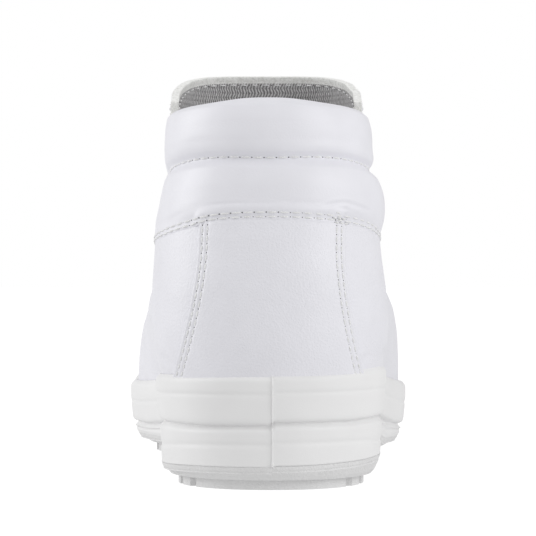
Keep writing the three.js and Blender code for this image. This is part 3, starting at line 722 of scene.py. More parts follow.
def leather_material(name, grain):
    """Smooth white microfibre with a pebble grain and a thin coat."""
    paint = Paint(name, LEATHER_COLOUR, 0.42)
    paint.vary(paint.noise(60, 2), LEATHER_COLOUR, spread=0.02)
    paint.give("Roughness", paint.maths("MULTIPLY_ADD", paint.noise(240, 2), 0.16, 0.36))
    paint.give("Coat Weight", 0.12)
    paint.give("Coat Roughness", 0.3)
    paint.give("Specular IOR Level", 0.42)
    waves = paint.bump(paint.noise(130, 2), strength=0.16, distance=0.0004)
    pebbles = paint.maths("ADD", paint.cells(1400), paint.noise(2100, 2))
    paint.bump(pebbles, strength=grain, distance=0.0003, under=waves)
    return paint.material


def sole_material():
    """Moulded polyurethane, satin, with faint flow marks and fine pits."""
    paint = Paint("sole_pu", SOLE_COLOUR, 0.5)
    paint.vary(paint.noise(45), SOLE_COLOUR, spread=0.018)
    paint.give("Roughness", paint.ramp(paint.noise(180, 2), (0.3, grey(0.42)), (0.7, grey(0.58))))
    paint.give("Specular IOR Level", 0.4)
    waves = paint.bump(paint.noise(90, 2), strength=0.2, distance=0.0005)
    paint.bump(paint.noise(1600), strength=0.12, distance=0.0002, under=waves)
    return paint.material


def tread_material():
    """The outsole's rubber: the same white, a little darker, with a fine-grained band above the lugs."""
    colour = tuple(c * TREAD_SHADE for c in SOLE_COLOUR)
    paint = Paint("tread_rubber", colour, 0.6)
    paint.vary(paint.noise(70, 4), colour, spread=0.03)
    paint.give("Specular IOR Level", 0.3)
    paint.bump(paint.noise(1000, 3, 0.7), strength=0.8, distance=0.0006)
    return paint.material


def mesh_lining_material():
    """Grey knitted spacer mesh: steep strands that lean to and fro in rows, over a dark ground."""
    paint = Paint("mesh_lining", (0.3, 0.292, 0.298), 0.85)
    split = paint.nodes.new("ShaderNodeSeparateXYZ")
    paint.links.new(paint.nodes.new("ShaderNodeTexCoord").outputs["UV"], split.inputs["Vector"])
    along, up = split.outputs["X"], split.outputs["Y"]
    zigzag = paint.maths("PINGPONG", up, STRAND_ROW)
    leaning = paint.maths("MULTIPLY_ADD", zigzag, STRAND_LEAN, along)
    uneven = paint.maths("MULTIPLY_ADD", paint.noise(700, 3, 0.7), STRAND_PITCH * 1.1, leaning)
    strands = paint.maths("SINE", paint.maths("MULTIPLY", uneven, 2 * math.pi / STRAND_PITCH))
    rows = paint.maths("SINE", paint.maths("MULTIPLY", up, math.pi / STRAND_ROW))
    height = paint.maths("MULTIPLY_ADD", paint.maths("ABSOLUTE", rows), 0.5, strands)
    fibre = paint.maths("MULTIPLY_ADD", paint.noise(2600, 2), 0.8, height)
    level = paint.maths("MULTIPLY_ADD", fibre, 0.3, 0.25)
    paint.colour(level, (0.1, (0.19, 0.186, 0.19)), (0.5, (0.46, 0.45, 0.456)), (0.85, (0.8, 0.785, 0.795)))
    paint.give("Sheen Weight", 0.3)
    paint.bump(level, strength=0.8, distance=0.0006)
    return paint.material


def felt_material():
    """Raw off-white edge of the microfibre, fuzzy."""
    paint = Paint("felt_edge", (0.76, 0.76, 0.735), 0.95)
    fuzz = paint.noise(850, 4, 0.75)
    paint.colour(fuzz, (0.36, (0.8, 0.8, 0.77)), (0.56, (1, 1, 0.98)))
    paint.give("Sheen Weight", 0.5)
    paint.bump(fuzz, strength=0.8, distance=0.0007)
    return paint.material


def thread_material():
    paint = Paint("stitch_thread", grey(0.86), 0.6)
    twist = paint.noise(3000, 1)
    paint.colour(twist, (0.35, grey(0.72)), (0.65, grey(0.93)))
    paint.bump(twist, strength=0.5, distance=0.0002)
    return paint.material


# Painted shade: the dark plugs stand in for the shade inside the stitch holes
def hole_shade_material():
    paint = Paint("stitch_hole_shade", (0.09, 0.088, 0.092), 0.9)
    paint.colour(paint.noise(900, 1), (0.3, grey(0.05)), (0.7, (0.16, 0.155, 0.16)))
    return paint.material


def cloth_material(name, tones, scale, detail, roughness, sheen, fuzz):
    """Grey cloth whose fibres show as fine light and dark."""
    middle, low, high = tones
    paint = Paint(name, grey(middle), roughness)
    fibre = paint.noise(scale, *detail)
    paint.colour(fibre, (0.3, grey(low)), (0.7, grey(high)))
    paint.give("Sheen Weight", sheen)
    paint.bump(fibre, *fuzz)
    return paint.material


GRAINED = leather_material("leather_grained", GRAIN["grained"])
SMOOTH_LEATHER = leather_material("leather_smooth", GRAIN["smooth"])
SOLE = sole_material()
TREAD = tread_material()
LINING = mesh_lining_material()
FELT = felt_material()
THREAD = thread_material()
# Dark plugs of painted shade for the stitch holes
HOLE_SHADE = hole_shade_material()
ELASTIC = cloth_material("elastic_web", (0.7, 0.6, 0.78), 2400, (2,), 0.85, 0.3, (0.6, 0.0004))
FOOTBED = cloth_material("footbed_felt", (0.52, 0.4, 0.64), 1500, (4, 0.7), 0.95, 0.4, (0.7, 0.0005))

# Seams of the collar: the margin of the lower roll that is sewn onto the upper, and how far that seam lies
# below the top line's ring on either side, by share of the way from back to front
MARGIN = 0.0013
MARGIN_STEP = 0.0002
MARGIN_SINK = {"depth": 0.0002, "reach": 0.0004}
PANEL_LIFT = {"height": 0.0007, "reach": 0.002}
SEAM_ROW_GAP = 0.0018
SEAM_DROP = {
    1: {"along": (0, 0.08, 0.16, 0.2, 0.35, 0.585), "drop": (0, 0, 0.0007, 0.0015, 0.002, 0.001)},
    -1: {"along": (0, 0.022, 0.068, 0.16, 0.35, 0.585), "drop": (0, 0.0002, 0.0015, 0.0028, 0.0032, 0.0018)},
}
seam_drop_side = {side: column(rows, "drop", "along") for side, rows in SEAM_DROP.items()}


def seam_drop(turn):
    side, u = side_of(turn)
    along = (1 - np.cos(math.pi * u)) / 2
    return np.where(side > 0, seam_drop_side[1](along), seam_drop_side[-1](along))


def margin_level(turn):
    """Level of the collar margin's lower edge."""
    return TOPLINE_HEIGHT - MARGIN - seam_drop(turn)


def margin_lift(points):
    """How far the collar's margin is raised where it runs over the heel panel."""
    aside = np.abs(points[..., 0] - SHAFT_LEAN / 2)
    over = smooth((PANEL_WIDTH / 2 + PANEL_LIFT["reach"] / 2 - aside) / PANEL_LIFT["reach"])
    return PANEL_LIFT["height"] * over


# Upper: hollow wall with its lining

RING_COLUMNS = 130
UPPER_ROWS = 105


def ring_turns(columns):
    i = np.arange(2 * columns)
    return np.where(i <= columns, i / columns, i / columns - 2)


def under_margin(turn, level):
    """How far a surface sinks under the collar's margin."""
    return MARGIN_SINK["depth"] * smooth((level - margin_level(turn)) / MARGIN_SINK["reach"] + 1)


def make_upper():
    turn, v = np.meshgrid(ring_turns(RING_COLUMNS), np.linspace(0, 1, UPPER_ROWS))
    level = mix(HEEL_FEATHER_Z, TOPLINE_HEIGHT, v)
    surface = boot_point(turn, level)
    outward = boot_normal(turn, level)
    outer = surface + outward * (relief("upper", surface) - under_margin(turn, level))[..., None]
    inner = surface - outward * WALL
    piece = wall_skin(outer, inner, True, inner_slot=1).finish("upper_shell", [GRAINED, LINING])
    place(piece, "leather", "upper")


# Heel panel: an overlay between the double seams, with a shallow trough along each row of stitches

PANEL_START = HEEL_STACK - 0.0024
PANEL_STITCH_INSETS = (0.0014, 0.0031)
PANEL_TROUGH = {"depth": 0.0003, "width": 0.0005}
PANEL_TUCK = 0.0008
PANEL_SINK = 3
PANEL_EDGE = {"drop": 0.0004, "reach": 0.0006, "sharp": 2}
PANEL_BEVEL = 0.0003
PANEL_GRID = {"rows": 90, "columns": 60, "edge_columns": 20, "edge_share": 0.17}


def panel_half(across, share):
    """Width of the heel panel from its middle to one edge, a little narrower on the medial side."""
    flare = mix(1, PANEL_FOOT, clamp01(1 - share / PANEL_FLARE["reach"]) ** PANEL_FLARE["sharp"])
    return flare * PANEL_WIDTH / 2 - np.where(across < 0, PANEL_TUCK, 0) * share


def panel_turn(across, share, halvings=26):
    """Turn at which the form lies a distance across from the panel's middle, a share of the way up it."""
    level = mix(PANEL_START, TOPLINE_HEIGHT, share)
    low, high = np.zeros_like(across), np.full_like(across, 0.5)
    side = np.sign(across)
    middle_x = BALL_OFFSET - PANEL_FOOT_DRIFT * (1 - share)
    for _ in range(halvings):
        middle = (low + high) / 2
        short = side * (boot_point(side * middle, level)[..., 0] - middle_x) < np.abs(across)
        low, high = np.where(short, middle, low), np.where(short, high, middle)
    return side * low, level


def make_heel_panel():
    near_edge = 1 - np.linspace(0, PANEL_GRID["edge_share"], PANEL_GRID["edge_columns"] + 1)[:-1]
    inner_end = 1 - PANEL_GRID["edge_share"]
    middle = np.linspace(-inner_end, inner_end, PANEL_GRID["columns"])
    acrosses = np.concatenate([-near_edge, middle, near_edge[::-1]])
    share, across = np.meshgrid(np.linspace(0, 1, PANEL_GRID["rows"]), acrosses, indexing="ij")
    turn, level = panel_turn(across * panel_half(across, share), share)
    surface = boot_point(turn, level)
    outward = boot_normal(turn, level)
    edge = (1 - np.abs(across)) * panel_half(across, share)
    troughs = [hill((edge - inset) / PANEL_TROUGH["width"]) for inset in PANEL_STITCH_INSETS]
    sunk = PANEL_TROUGH["depth"] * sum(troughs) + PANEL_SINK * under_margin(turn, level)
    lift = GAP + PANEL_THICKNESS - sunk
    lift = lift - PANEL_EDGE["drop"] * (1 - rounded(edge / PANEL_EDGE["reach"], PANEL_EDGE["sharp"]))
    piece = wall_skin(surface + outward * lift[..., None], surface + outward * GAP, False)
    piece = piece.finish("heel_overlay", [GRAINED])
    soften(piece, PANEL_BEVEL, 2)
    place(piece, "leather", "heel_panel")


# Collar: two padded rolls. As sewn, their seam dips less beside the heel than the form, the filling sits a
# little to the lateral side and the collar's edge drops off beside the heel.

ROLL_GRID = (64, 220)
ROLL_SEAM_RISE = 0.0016
ROLL_SEAM_RISE_REACH = 0.03
ROLL_ASIDE = {"lower": 0.0013, "upper": 0.0005, "seam": 0.7, "fade": 2.5}
SETTLED = {"turn": 0.35, "fade": 0.2}
ROLL_TUCK = 0.0001
EDGE_DROP = {"back": 0.0003, "beside": 0.0013, "start": 0.004, "reach": 0.018}
ROLL_END = {"round": 0.0014, "reach": 0.005, "sharp": 2}
TURN_LENGTH = 0.3
ROLL_TAPER = 0.2
MARGIN_FLAT = {"reach": 0.0035, "fade": 0.003}
MARGIN_TROUGH = {"depth": 0.00012, "above": 0.0006, "width": 0.0016}
MARGIN_EDGE = {"drop": 0.00038, "fade": 0.0005}
MARGIN_THICKNESS = 0.0007
MARGIN_TO_ROLL = 0.0012
FOOT_FILL = {"height": 0.0006, "place": 0.17, "width": 0.12}
ROLL_BEVEL = {"lower": 0.0003, "upper": 0.0009}


def settle_rolls(points, level, turn):
    """Moves points of the rolls to where the filling has settled."""
    lower = clamp01((level - TOPLINE_HEIGHT) / (ROLL_SEAM_HEIGHT - TOPLINE_HEIGHT))
    upper = clamp01((level - ROLL_SEAM_HEIGHT) / (COLLAR_HEIGHT - ROLL_SEAM_HEIGHT))
    rear = 1 - smooth((np.abs(turn) - SETTLED["turn"]) / SETTLED["fade"])
    beside = smooth(np.abs(points[..., 0]) / ROLL_SEAM_RISE_REACH)
    rise = ROLL_SEAM_RISE * beside * smooth(lower) * (1 - smooth(upper))
    aside = ROLL_ASIDE["lower"] * np.sin(math.pi * lower) + ROLL_ASIDE["upper"] * np.sin(math.pi * upper)
    at_seam = smooth(lower) * (1 - smooth(upper * ROLL_ASIDE["fade"]))
    aside = aside + ROLL_ASIDE["lower"] * ROLL_ASIDE["seam"] * at_seam
    return points + np.stack([aside * rear, np.zeros_like(rise), rise * rear], -1)


def edge_drop(turn):
    """How much lower than its ring the collar's upper edge lies."""
    x = np.abs(boot_point(turn, np.full_like(turn, COLLAR_HEIGHT))[..., 0])
    return mix(EDGE_DROP["back"], EDGE_DROP["beside"], smooth((x - EDGE_DROP["start"]) / EDGE_DROP["reach"]))


def lower_roll_levels(share, across):
    start = margin_level(across * turn_of(np.full_like(share, COLLAR_END["foot"])))
    return start, mix(start, np.full_like(share, ROLL_SEAM_HEIGHT + ROLL_TUCK), share)


def upper_roll_levels(share, across):
    start = np.full_like(share, ROLL_SEAM_HEIGHT - ROLL_TUCK)
    end = COLLAR_HEIGHT - edge_drop(across * turn_of(collar_end(COLLAR_HEIGHT)))
    return start, mix(start, end, share)


def roll_form(node, levels, foot, top):
    """Grid of a roll: its turns, levels, surface and outward directions, with its lift and depth."""
    rows, columns = ROLL_GRID
    share, across = np.meshgrid(np.linspace(0, 1, rows), np.linspace(-1, 1, columns), indexing="ij")
    start, level = levels(share, across)
    turn = across * turn_of(collar_end(level))
    surface = boot_point(turn, level)
    outward = boot_normal(turn, level)
    from_end = turn_of(COLLAR_END["top"]) * (1 - np.abs(across)) * TURN_LENGTH
    end_round = ROLL_END["round"] * (1 - rounded(from_end / ROLL_END["reach"], ROLL_END["sharp"]))
    lift = relief(node, surface) - end_round
    in_roll = clamp01((level - foot) / (top - foot))
    bulge = (rolled_share(level) - ROLL_NOTCH) * SHAFT_WIDTH / 2
    taper = smooth((1 - np.abs(across)) / ROLL_TAPER)
    depth = ROLL_EDGE + taper * (np.maximum(0, bulge) + ROLL_FILL * np.sin(math.pi * in_roll))
    return start, level, turn, surface, outward, lift, in_roll, depth


def finish_roll(name, node, grid, lift, inner_lift, bevel):
    level, turn, surface, outward = grid
    outer = settle_rolls(surface + outward * lift[..., None], level, turn)
    inner = settle_rolls(surface + outward * inner_lift[..., None], level, turn)
    piece = wall_skin(outer, inner, False, inner_slot=1).finish(name, [SMOOTH_LEATHER, LINING])
    soften(piece, bevel)
    place(piece, "leather", node)


def make_lower_roll():
    form = roll_form("collar_lower", lower_roll_levels, TOPLINE_HEIGHT + GAP, ROLL_SEAM_HEIGHT + ROLL_TUCK)
    start, level, turn, surface, outward, lift, _, depth = form
    flat = 1 - smooth((level - start - MARGIN_FLAT["reach"]) / MARGIN_FLAT["fade"])
    lift = lift + flat * (MARGIN_STEP + margin_lift(surface))
    above = level - TOPLINE_HEIGHT - MARGIN_TROUGH["above"] + seam_drop(turn)
    trough = MARGIN_TROUGH["depth"] * hill(above / MARGIN_TROUGH["width"])
    lift = lift - trough - MARGIN_EDGE["drop"] * np.exp(-(level - start) / MARGIN_EDGE["fade"])
    inner_lift = mix(lift - MARGIN_THICKNESS, -depth, smooth((level - TOPLINE_HEIGHT) / MARGIN_TO_ROLL))
    grid = (level, turn, surface, outward)
    finish_roll("collar_roll_lower", "collar_lower", grid, lift, inner_lift, ROLL_BEVEL["lower"])


def make_upper_roll():
    form = roll_form("collar_upper", upper_roll_levels, ROLL_SEAM_HEIGHT - ROLL_TUCK, COLLAR_HEIGHT)
    _, level, turn, surface, outward, lift, in_roll, depth = form
    lift = lift + FOOT_FILL["height"] * hill((in_roll - FOOT_FILL["place"]) / FOOT_FILL["width"])
    grid = (level, turn, surface, outward)
    finish_roll("collar_roll_upper", "collar_upper", grid, lift, -depth, ROLL_BEVEL["upper"])


# Elastic gussets

GUSSET_GRID = (40, 73)
RIB_HEIGHT = 0.00032
RIBS = 6
GUSSET_BEVEL = 0.0004


def make_gusset(side, name, node):
    rows, columns = GUSSET_GRID
    share, across = np.meshgrid(np.linspace(0, 1, rows), np.linspace(0, 1, columns), indexing="ij")
    level = mix(TOPLINE_HEIGHT + GAP, GUSSET_TOP, share)
    along = mix(collar_end(level) - 2 * GAP_SHARE, flap_edge(level) + 2 * GAP_SHARE, across)
    turn = side * turn_of(along)
    if side < 0:
        turn, level = turn[:, ::-1], level[:, ::-1]
    surface = boot_point(turn, level)
    outward = boot_normal(turn, level)
    lift = RIB_HEIGHT * np.cos(2 * math.pi * RIBS * across) - GUSSET_RECESS
    outer = surface + outward * lift[..., None]
    inner = surface - outward * (GUSSET_RECESS + GUSSET_THICKNESS)
    piece = wall_skin(outer, inner, False, inner_slot=1).finish(name, [ELASTIC, LINING])
    soften(piece, GUSSET_BEVEL, 2)
    place(piece, "elastic", node)


# Front flap with its felt edge and mesh lining

FELT_TOP = 0.0028
FELT_SIDE = 0.0011
FELT_STEPS = np.array([1, 0.6, 0.25, 0])
FLAP_BAND_ROW = 0.85
FLAP_GRID = (60, 56)
FLAP_WAVE = {"height": 0.0002, "across": 31, "up": 9, "slant": 5}
FELT_PINCH = {"depth": 0.0004, "width": 0.3}
FLAP_BEVEL = 0.0007
ACROSS_SAMPLES = 400


def flap_stop(share, across):
    reach = np.abs(across) * (1 - turn_of(FLAP_EDGE["top"]))
    along = (1 + np.cos(math.pi * reach)) / 2
    sunk = side_dip(COLLAR_HEIGHT) * np.sin(math.pi * along) - FRONT_RISE * along
    crown = FLAP_HEIGHT + sunk - FLAP_CORNER_DROP * np.abs(across) ** FLAP_CORNER_SHARP
    level = mix(TOPLINE_HEIGHT + GAP, crown, share)
    return 1 + across * (1 - turn_of(flap_edge(level))), level


def flap_across(inset):
    """Share of the way from the flap's middle to its side at which a point lies an inset from that side."""
    across = np.linspace(0, 1, ACROSS_SAMPLES)
    turn, level = flap_stop(np.full_like(across, FLAP_BAND_ROW), across)
    length = run_length(boot_point(turn, level))
    return np.interp(length[-1] - np.asarray(inset), length, across)


def make_flap():
    reach = FLAP_HEIGHT - TOPLINE_HEIGHT
    rows, columns = FLAP_GRID
    top_rows, side_columns = 1 - FELT_STEPS * FELT_TOP / reach, flap_across(FELT_STEPS * FELT_SIDE)
    shares = np.concatenate([np.linspace(0, top_rows[0], rows)[:-1], top_rows])
    half = np.concatenate([np.linspace(0, side_columns[0], columns)[1:-1], side_columns])
    share, across = np.meshgrid(shares, np.concatenate([-half[::-1], [0], half]), indexing="ij")
    turn, level = flap_stop(share, across)
    surface = boot_point(turn, level)
    outward = boot_normal(turn, level)
    from_top = (1 - share) * reach / FELT_TOP
    from_side = (1 - np.abs(across)) / (1 - side_columns[0])
    border = np.minimum(from_top, from_side)
    rising = share * FLAP_WAVE["up"] + across * FLAP_WAVE["slant"]
    swing = np.sin(across * FLAP_WAVE["across"]) * np.sin(rising)
    waves = FLAP_WAVE["height"] * swing
    pinch = FELT_PINCH["depth"] * hill((border - 1) / FELT_PINCH["width"])
    outer = surface + outward * (waves - pinch)[..., None]
    inner = surface - outward * (FLAP_THICKNESS - waves - pinch)[..., None]
    corners = [border[:-1, :-1], border[1:, 1:], border[:-1, 1:], border[1:, :-1]]
    felt = np.mean(corners, axis=0) < 1
    skin = wall_skin(outer, inner, False, 0, np.where(felt, 2, 1), 2)
    piece = skin.finish("front_flap_shell", [SMOOTH_LEATHER, LINING, FELT])
    soften(piece, FLAP_BEVEL)
    place(piece, "lining", "front_flap")


# Sole

SEAM_HALF_TURN = 0.0008
FRONT_TURN = 0.999
RING_STEP = {"midsole": 0.0003, "outsole": 0.0004, "insole": 0.0005}
RING_SOFTNESS = {"midsole": 0.0009, "outsole": 0.0003, "insole": 0.0005}
BRIM_SINK = 0.0002
BRIM_CROWN = 0.0003
TREAD_BITE = 0.0005
TREAD_BEVEL = {"width": 0.0003, "segments": 2, "angle": 55}
INSOLE_BEVEL = 0.001

ring_turn = ring_turns(RING_COLUMNS)
ring_turn = np.concatenate([[SEAM_HALF_TURN], ring_turn[1:], [-SEAM_HALF_TURN]])
ring_side = np.where(ring_turn > 0, 1, -1) * np.where(np.abs(ring_turn) > FRONT_TURN, 0, 1)
feather_level = np.full(len(ring_turn), HEEL_FEATHER_Z)
feather_ring = boot_point(ring_turn, feather_level)
ring_step = np.roll(feather_ring, -1, 0) - np.roll(feather_ring, 1, 0)
feather_out = unit(np.stack([ring_step[:, 1], -ring_step[:, 0], np.zeros(len(ring_step))], -1))
ring_station = station(feather_ring[:, 1])


def sole_ring(inset, ball_inset, heights):
    out = SOLE_LIP - mix(inset, ball_inset, passed(ring_station, STRETCH["inset"]))
    ring = feather_ring + feather_out * out[:, None]
    ring[:, 2] = heights
    return ring


def side_rings(side):
    rings = []
    for line, rise, inset, ball_inset in side:
        heights = sole_line(line, ring_station, ring_side) + rise * HEEL_STACK
        rings.append(sole_ring(inset * SOLE_LIP, ball_inset * SOLE_LIP, heights))
    return np.stack(rings)


def fine_rings(rings, layer):
    """Many rings through a few, close together, with the corners of the profile rounded."""
    lengths = run_length(rings[:, 2])
    fine = np.linspace(0, lengths[-1], int(lengths[-1] / RING_STEP[layer]) + 1)
    weights = np.array([np.interp(fine, lengths, row) for row in np.eye(len(lengths))]).T
    near = hill((fine[:, None] - fine[None, :]) / RING_SOFTNESS[layer])
    near[0], near[-1] = 0, 0
    near[0, 0], near[-1, -1] = 1, 1
    near /= near.sum(1, keepdims=True)
    return np.einsum("fr,rck->fck", near @ weights, rings)


def level_for_height(turn, height, halvings=24):
    """Level at which the form has a height, round a ring."""
    low = np.full_like(turn, HEEL_FEATHER_Z)
    high = np.full_like(turn, 0.75 * TOPLINE_HEIGHT)
    for _ in range(halvings):
        middle = (low + high) / 2
        short = boot_point(turn, middle)[..., 2] < height
        low, high = np.where(short, middle, low), np.where(short, high, middle)
    return low


def ring_solid(name, rings, materials=()):
    skin = Skin()
    grid = skin.add_grid(rings)
    skin.sheet(grid, True)
    skin.lid(grid[0], False)
    skin.lid(grid[-1], True)
    return skin.finish(name, materials)


midsole_side = fine_rings(side_rings(MIDSOLE_SIDE), "midsole")


def make_midsole():
    top_heights = sole_line("top", ring_station, ring_side)
    brim = boot_point(ring_turn, level_for_height(ring_turn, top_heights))
    brim[:, 2] = top_heights - BRIM_SINK
    foot = offset_points(ring_turn, feather_level, np.full(len(ring_turn), GAP))
    foot[:, 2] = cup_floor(ring_station)
    crowned = mix(midsole_side[-1], brim, 0.5)
    crowned[:, 2] += BRIM_CROWN
    rings = np.concatenate([midsole_side, crowned[None], brim[None], foot[None]])
    place(ring_solid("midsole_body", rings, [SOLE]), "sole", "midsole")


def box_piece(name, low, high):
    x0, y0, z0 = low
    x1, y1, z1 = high
    corners = np.array([[x, y, z] for z in (z0, z1) for x, y in ((x0, y0), (x1, y0), (x1, y1), (x0, y1))])
    skin = Skin()
    grid = skin.add_grid(corners.reshape(2, 4, 3))
    skin.sheet(grid, True)
    skin.quads(*grid[0, ::-1])
    skin.quads(*grid[1])
    return skin.finish(name, [])


def cut(piece, other, operation="DIFFERENCE"):
    """Applies a boolean with another piece, which is then removed."""
    boolean = piece.modifiers.new("cut", "BOOLEAN")
    boolean.operation = operation
    boolean.object = other
    boolean.solver = "EXACT"
    bpy.context.view_layer.update()
    done = bpy.data.meshes.new_from_object(piece.evaluated_get(bpy.context.evaluated_depsgraph_get()))
    piece.modifiers.clear()
    piece.data = done
    bpy.data.objects.remove(other)
    return piece


def tread_layer(name, inset, low, high):
    heights = sole_line("tread", ring_station)
    insets = (TREAD_INSET + inset, BALL_TREAD_INSET + inset)
    return ring_solid(name, np.stack([sole_ring(*insets, heights + rise) for rise in (low, high)]))


def cut_across(piece, name, y_from, y_to):
    """Cuts a straight channel through a piece from side to side."""
    reach, deep = BALL_WIDTH / 2, HEEL_STACK
    cut(piece, box_piece(name, (-reach, y_from, -deep), (reach, y_to, deep)))


def make_lugs():
    """Tread layer with a groove inside its edge lugs, cross grooves and nothing under the waist."""
    lugs = tread_layer("lugs", 0, 0, LUG_HEIGHT + TREAD_BITE)
    ring = tread_layer("ring", EDGE_LUG_WIDTH, -TREAD_BITE, LUG_HEIGHT + 2 * TREAD_BITE)
    core = tread_layer("core", EDGE_LUG_WIDTH + GROOVE_WIDTH, -2 * TREAD_BITE, LUG_HEIGHT + 3 * TREAD_BITE)
    cut(lugs, cut(ring, core))
    for y in np.arange(HEEL_END + 2 * GROOVE_PITCH, TOE_END, GROOVE_PITCH):
        cut_across(lugs, "groove", y - GROOVE_WIDTH / 2, y + GROOVE_WIDTH / 2)
    cut_across(lugs, "waist", *(HEEL_END + s * FEATHER_LENGTH for s in (HEEL_TREAD_END, BALL_TREAD_START)))
    return lugs


def make_outsole():
    rim = ring_solid("outsole_tread", fine_rings(side_rings(OUTSOLE_SIDE), "outsole"))
    cut(rim, make_lugs(), "UNION")
    for polygon in rim.data.polygons:
        polygon.use_smooth = False
    rim.data.materials.clear()
    rim.data.materials.append(TREAD)
    soften(rim, **TREAD_BEVEL)
    place(rim, "sole", "outsole")


def make_insole():
    edge = SOLE_LIP + WALL + INSOLE_PLAY
    base = cup_floor(ring_station) + GAP
    rings = [
        sole_ring(edge, edge, base),
        sole_ring(edge, edge, base + INSOLE_THICKNESS - INSOLE_BEVEL),
        sole_ring(edge + INSOLE_BEVEL, edge + INSOLE_BEVEL, base + INSOLE_THICKNESS),
    ]
    piece = ring_solid("insole_footbed", fine_rings(np.stack(rings), "insole"), [FOOTBED])
    place(piece, "footbed", "insole")


# Mould seam up the back of the heel, with a small nub at its foot. The section's rows are how far a corner
# lies aside and outward, as shares of the seam's half width and height.

MOULD_SEAM_ASIDE = 0.0004
MOULD_SEAM_HALF = 0.00034
MOULD_SEAM_HEIGHT = 0.00055
MOULD_SEAM_SECTION = ((-1, -0.6), (-0.55, 0.6), (0, 1), (0.55, 0.6), (1, -0.6), (0, -1.2))
NUB_REACH = 0.0007
NUB_RISE = 0.8


def make_mould_seam():
    back = (midsole_side[:, 0] + midsole_side[:, -1]) / 2
    back[:, 0] += MOULD_SEAM_ASIDE
    nub = hill((back[:, 2] - back[0, 2] - NUB_REACH) / NUB_REACH)
    half, height = MOULD_SEAM_HALF * (1 + nub), MOULD_SEAM_HEIGHT * (1 + NUB_RISE * nub)
    flat = np.zeros(len(back))
    rows = [back + np.stack([across * half, -out * height, flat], -1) for across, out in MOULD_SEAM_SECTION]
    skin = Skin()
    skin.sheet(skin.add_grid(np.stack(rows, 1)), True)
    place(skin.finish("mould_seam", [SOLE]), "sole")


# Stitches. A thread is sunk at both ends, as shares of its radius, and its holes are small dark plugs of
# painted shade.

THREAD_RADIUS = 0.00033
THREAD_RISE = 0.0001
THREAD_RINGS = 7
THREAD_SINK = 0.75
THREAD_ARCH = 0.9
THREAD_TIP = {"thin": 0.25, "blunt": 0.35}
HOLE_RADIUS = 0.00023
HOLE_LENGTHENED = 1.15
# Painted shade of the holes: full near the heel's middle, shrinking towards the sides, where more light falls
# into them
HOLE_SHADE_FULL_REACH = 0.024
HOLE_SHADE_SHRINK = 0.62
HOLE_SHADE_SHRINK_REACH = 0.006
HOLE_RINGS = ((-0.0006, 0, 0.4), (0, 0.5, 1), (0.00008, 0.5, 0.6))
HOLE_SHARE = 0.2
TANGENT_STEP = 0.0002
SECTION = 2 * math.pi * np.arange(8) / 8
PITCH = {
    "top_line": 0.0042,
    "rolls": 0.0042,
    "panel": 0.0032,
    "tack": 0.0022,
    "gusset": 0.0036,
    "flap": 0.0042,
}
TACK_HOLE = 0.00013
SEAM_SINK = 0.0001
SEAM_BELOW_LINE = 0.0003
ROLL_SEAM_LIFT = 0.00005
SEAM_SAMPLES = 500
SEAM_END_TURN = {"top_line": 0.012, "rolls": 0.02, "gusset": 0.012}
PANEL_SEAM = {"from": 0.01, "to": 0.955, "sink": 0.00035}
GUSSET_SEAM_END = 0.004
FLAP_FOOT_ROWS = {"rises": (0.0018, 0.0042), "across": 0.985}
FLAP_SEAM = {"from": 0.1, "corner": 0.93, "top": 1.25, "side": 1.4}
FLAP_THREAD = {"radius": 0.00026, "hole_share": 0.5, "hole": 0.0002}

# Short rows sewn back over the end of the panel's seam: rise over the top line, start and end
BACK_TACKS = ((0.0006, 0.0222, 0.0268), (-0.0013, 0.0226, 0.0272), (0.0026, 0.0228, 0.0252))


def directions(points, normals, s):
    """Places at lengths along a line on a surface, and the directions outward, onward and across there."""
    lengths = run_length(points)

    def at(places):
        centre = np.stack([np.interp(places, lengths, points[:, k]) for k in range(3)], -1)
        return centre, unit(np.stack([np.interp(places, lengths, normals[:, k]) for k in range(3)], -1))

    centre, outward = at(s)
    ahead, behind = at(np.minimum(s + TANGENT_STEP, lengths[-1]))[0], at(np.maximum(s - TANGENT_STEP, 0))[0]
    onward = unit(ahead - behind)
    return centre, outward, onward, np.cross(outward, onward)


def stitch_row(skin, line, pitch, radius=THREAD_RADIUS, hole_share=HOLE_SHARE, hole=HOLE_RADIUS):
    """Threads along a line on a surface, with a dark plug of painted shade in the hole between each two. The
    plugs are made smaller towards the sides, away from the heel's middle, as painted shade that lessens where
    more light falls into the holes."""
    length = run_length(line[0])[-1]
    count = max(1, round(length / pitch))
    pitch = length / count
    t = np.linspace(0, 1, THREAD_RINGS)
    start = (np.arange(count) * pitch + hole_share * pitch / 2)[:, None]
    centre, outward, _, across = directions(*line, start + t[None, :] * pitch * (1 - hole_share))
    arch = np.sin(math.pi * t)
    rise = THREAD_RISE + (arch - THREAD_SINK) * radius * THREAD_ARCH
    thick = radius * mix(THREAD_TIP["thin"], 1, arch ** THREAD_TIP["blunt"])
    circle = across[:, :, None] * np.cos(SECTION)[:, None] + outward[:, :, None] * np.sin(SECTION)[:, None]
    for tube in (centre + outward * rise[:, None])[:, :, None] + circle * thick[:, None, None]:
        skin.tube(tube)

    centre, outward, onward, across = directions(*line, np.arange(count + 1) * pitch)
    # The holes' painted shade shrinks towards the sides, where more light falls
    lit_aside = smooth((np.abs(centre[:, 0]) - HOLE_SHADE_FULL_REACH) / HOLE_SHADE_SHRINK_REACH)
    for c, n, a, b, r in zip(centre, outward, onward, across, hole * (1 - HOLE_SHADE_SHRINK * lit_aside)):
        disc = r * (np.cos(SECTION)[:, None] * a * HOLE_LENGTHENED + np.sin(SECTION)[:, None] * b)
        rings = [c + n * (lift + share * THREAD_RISE) + wide * disc for lift, share, wide in HOLE_RINGS]
        skin.tube(np.stack(rings), 1)


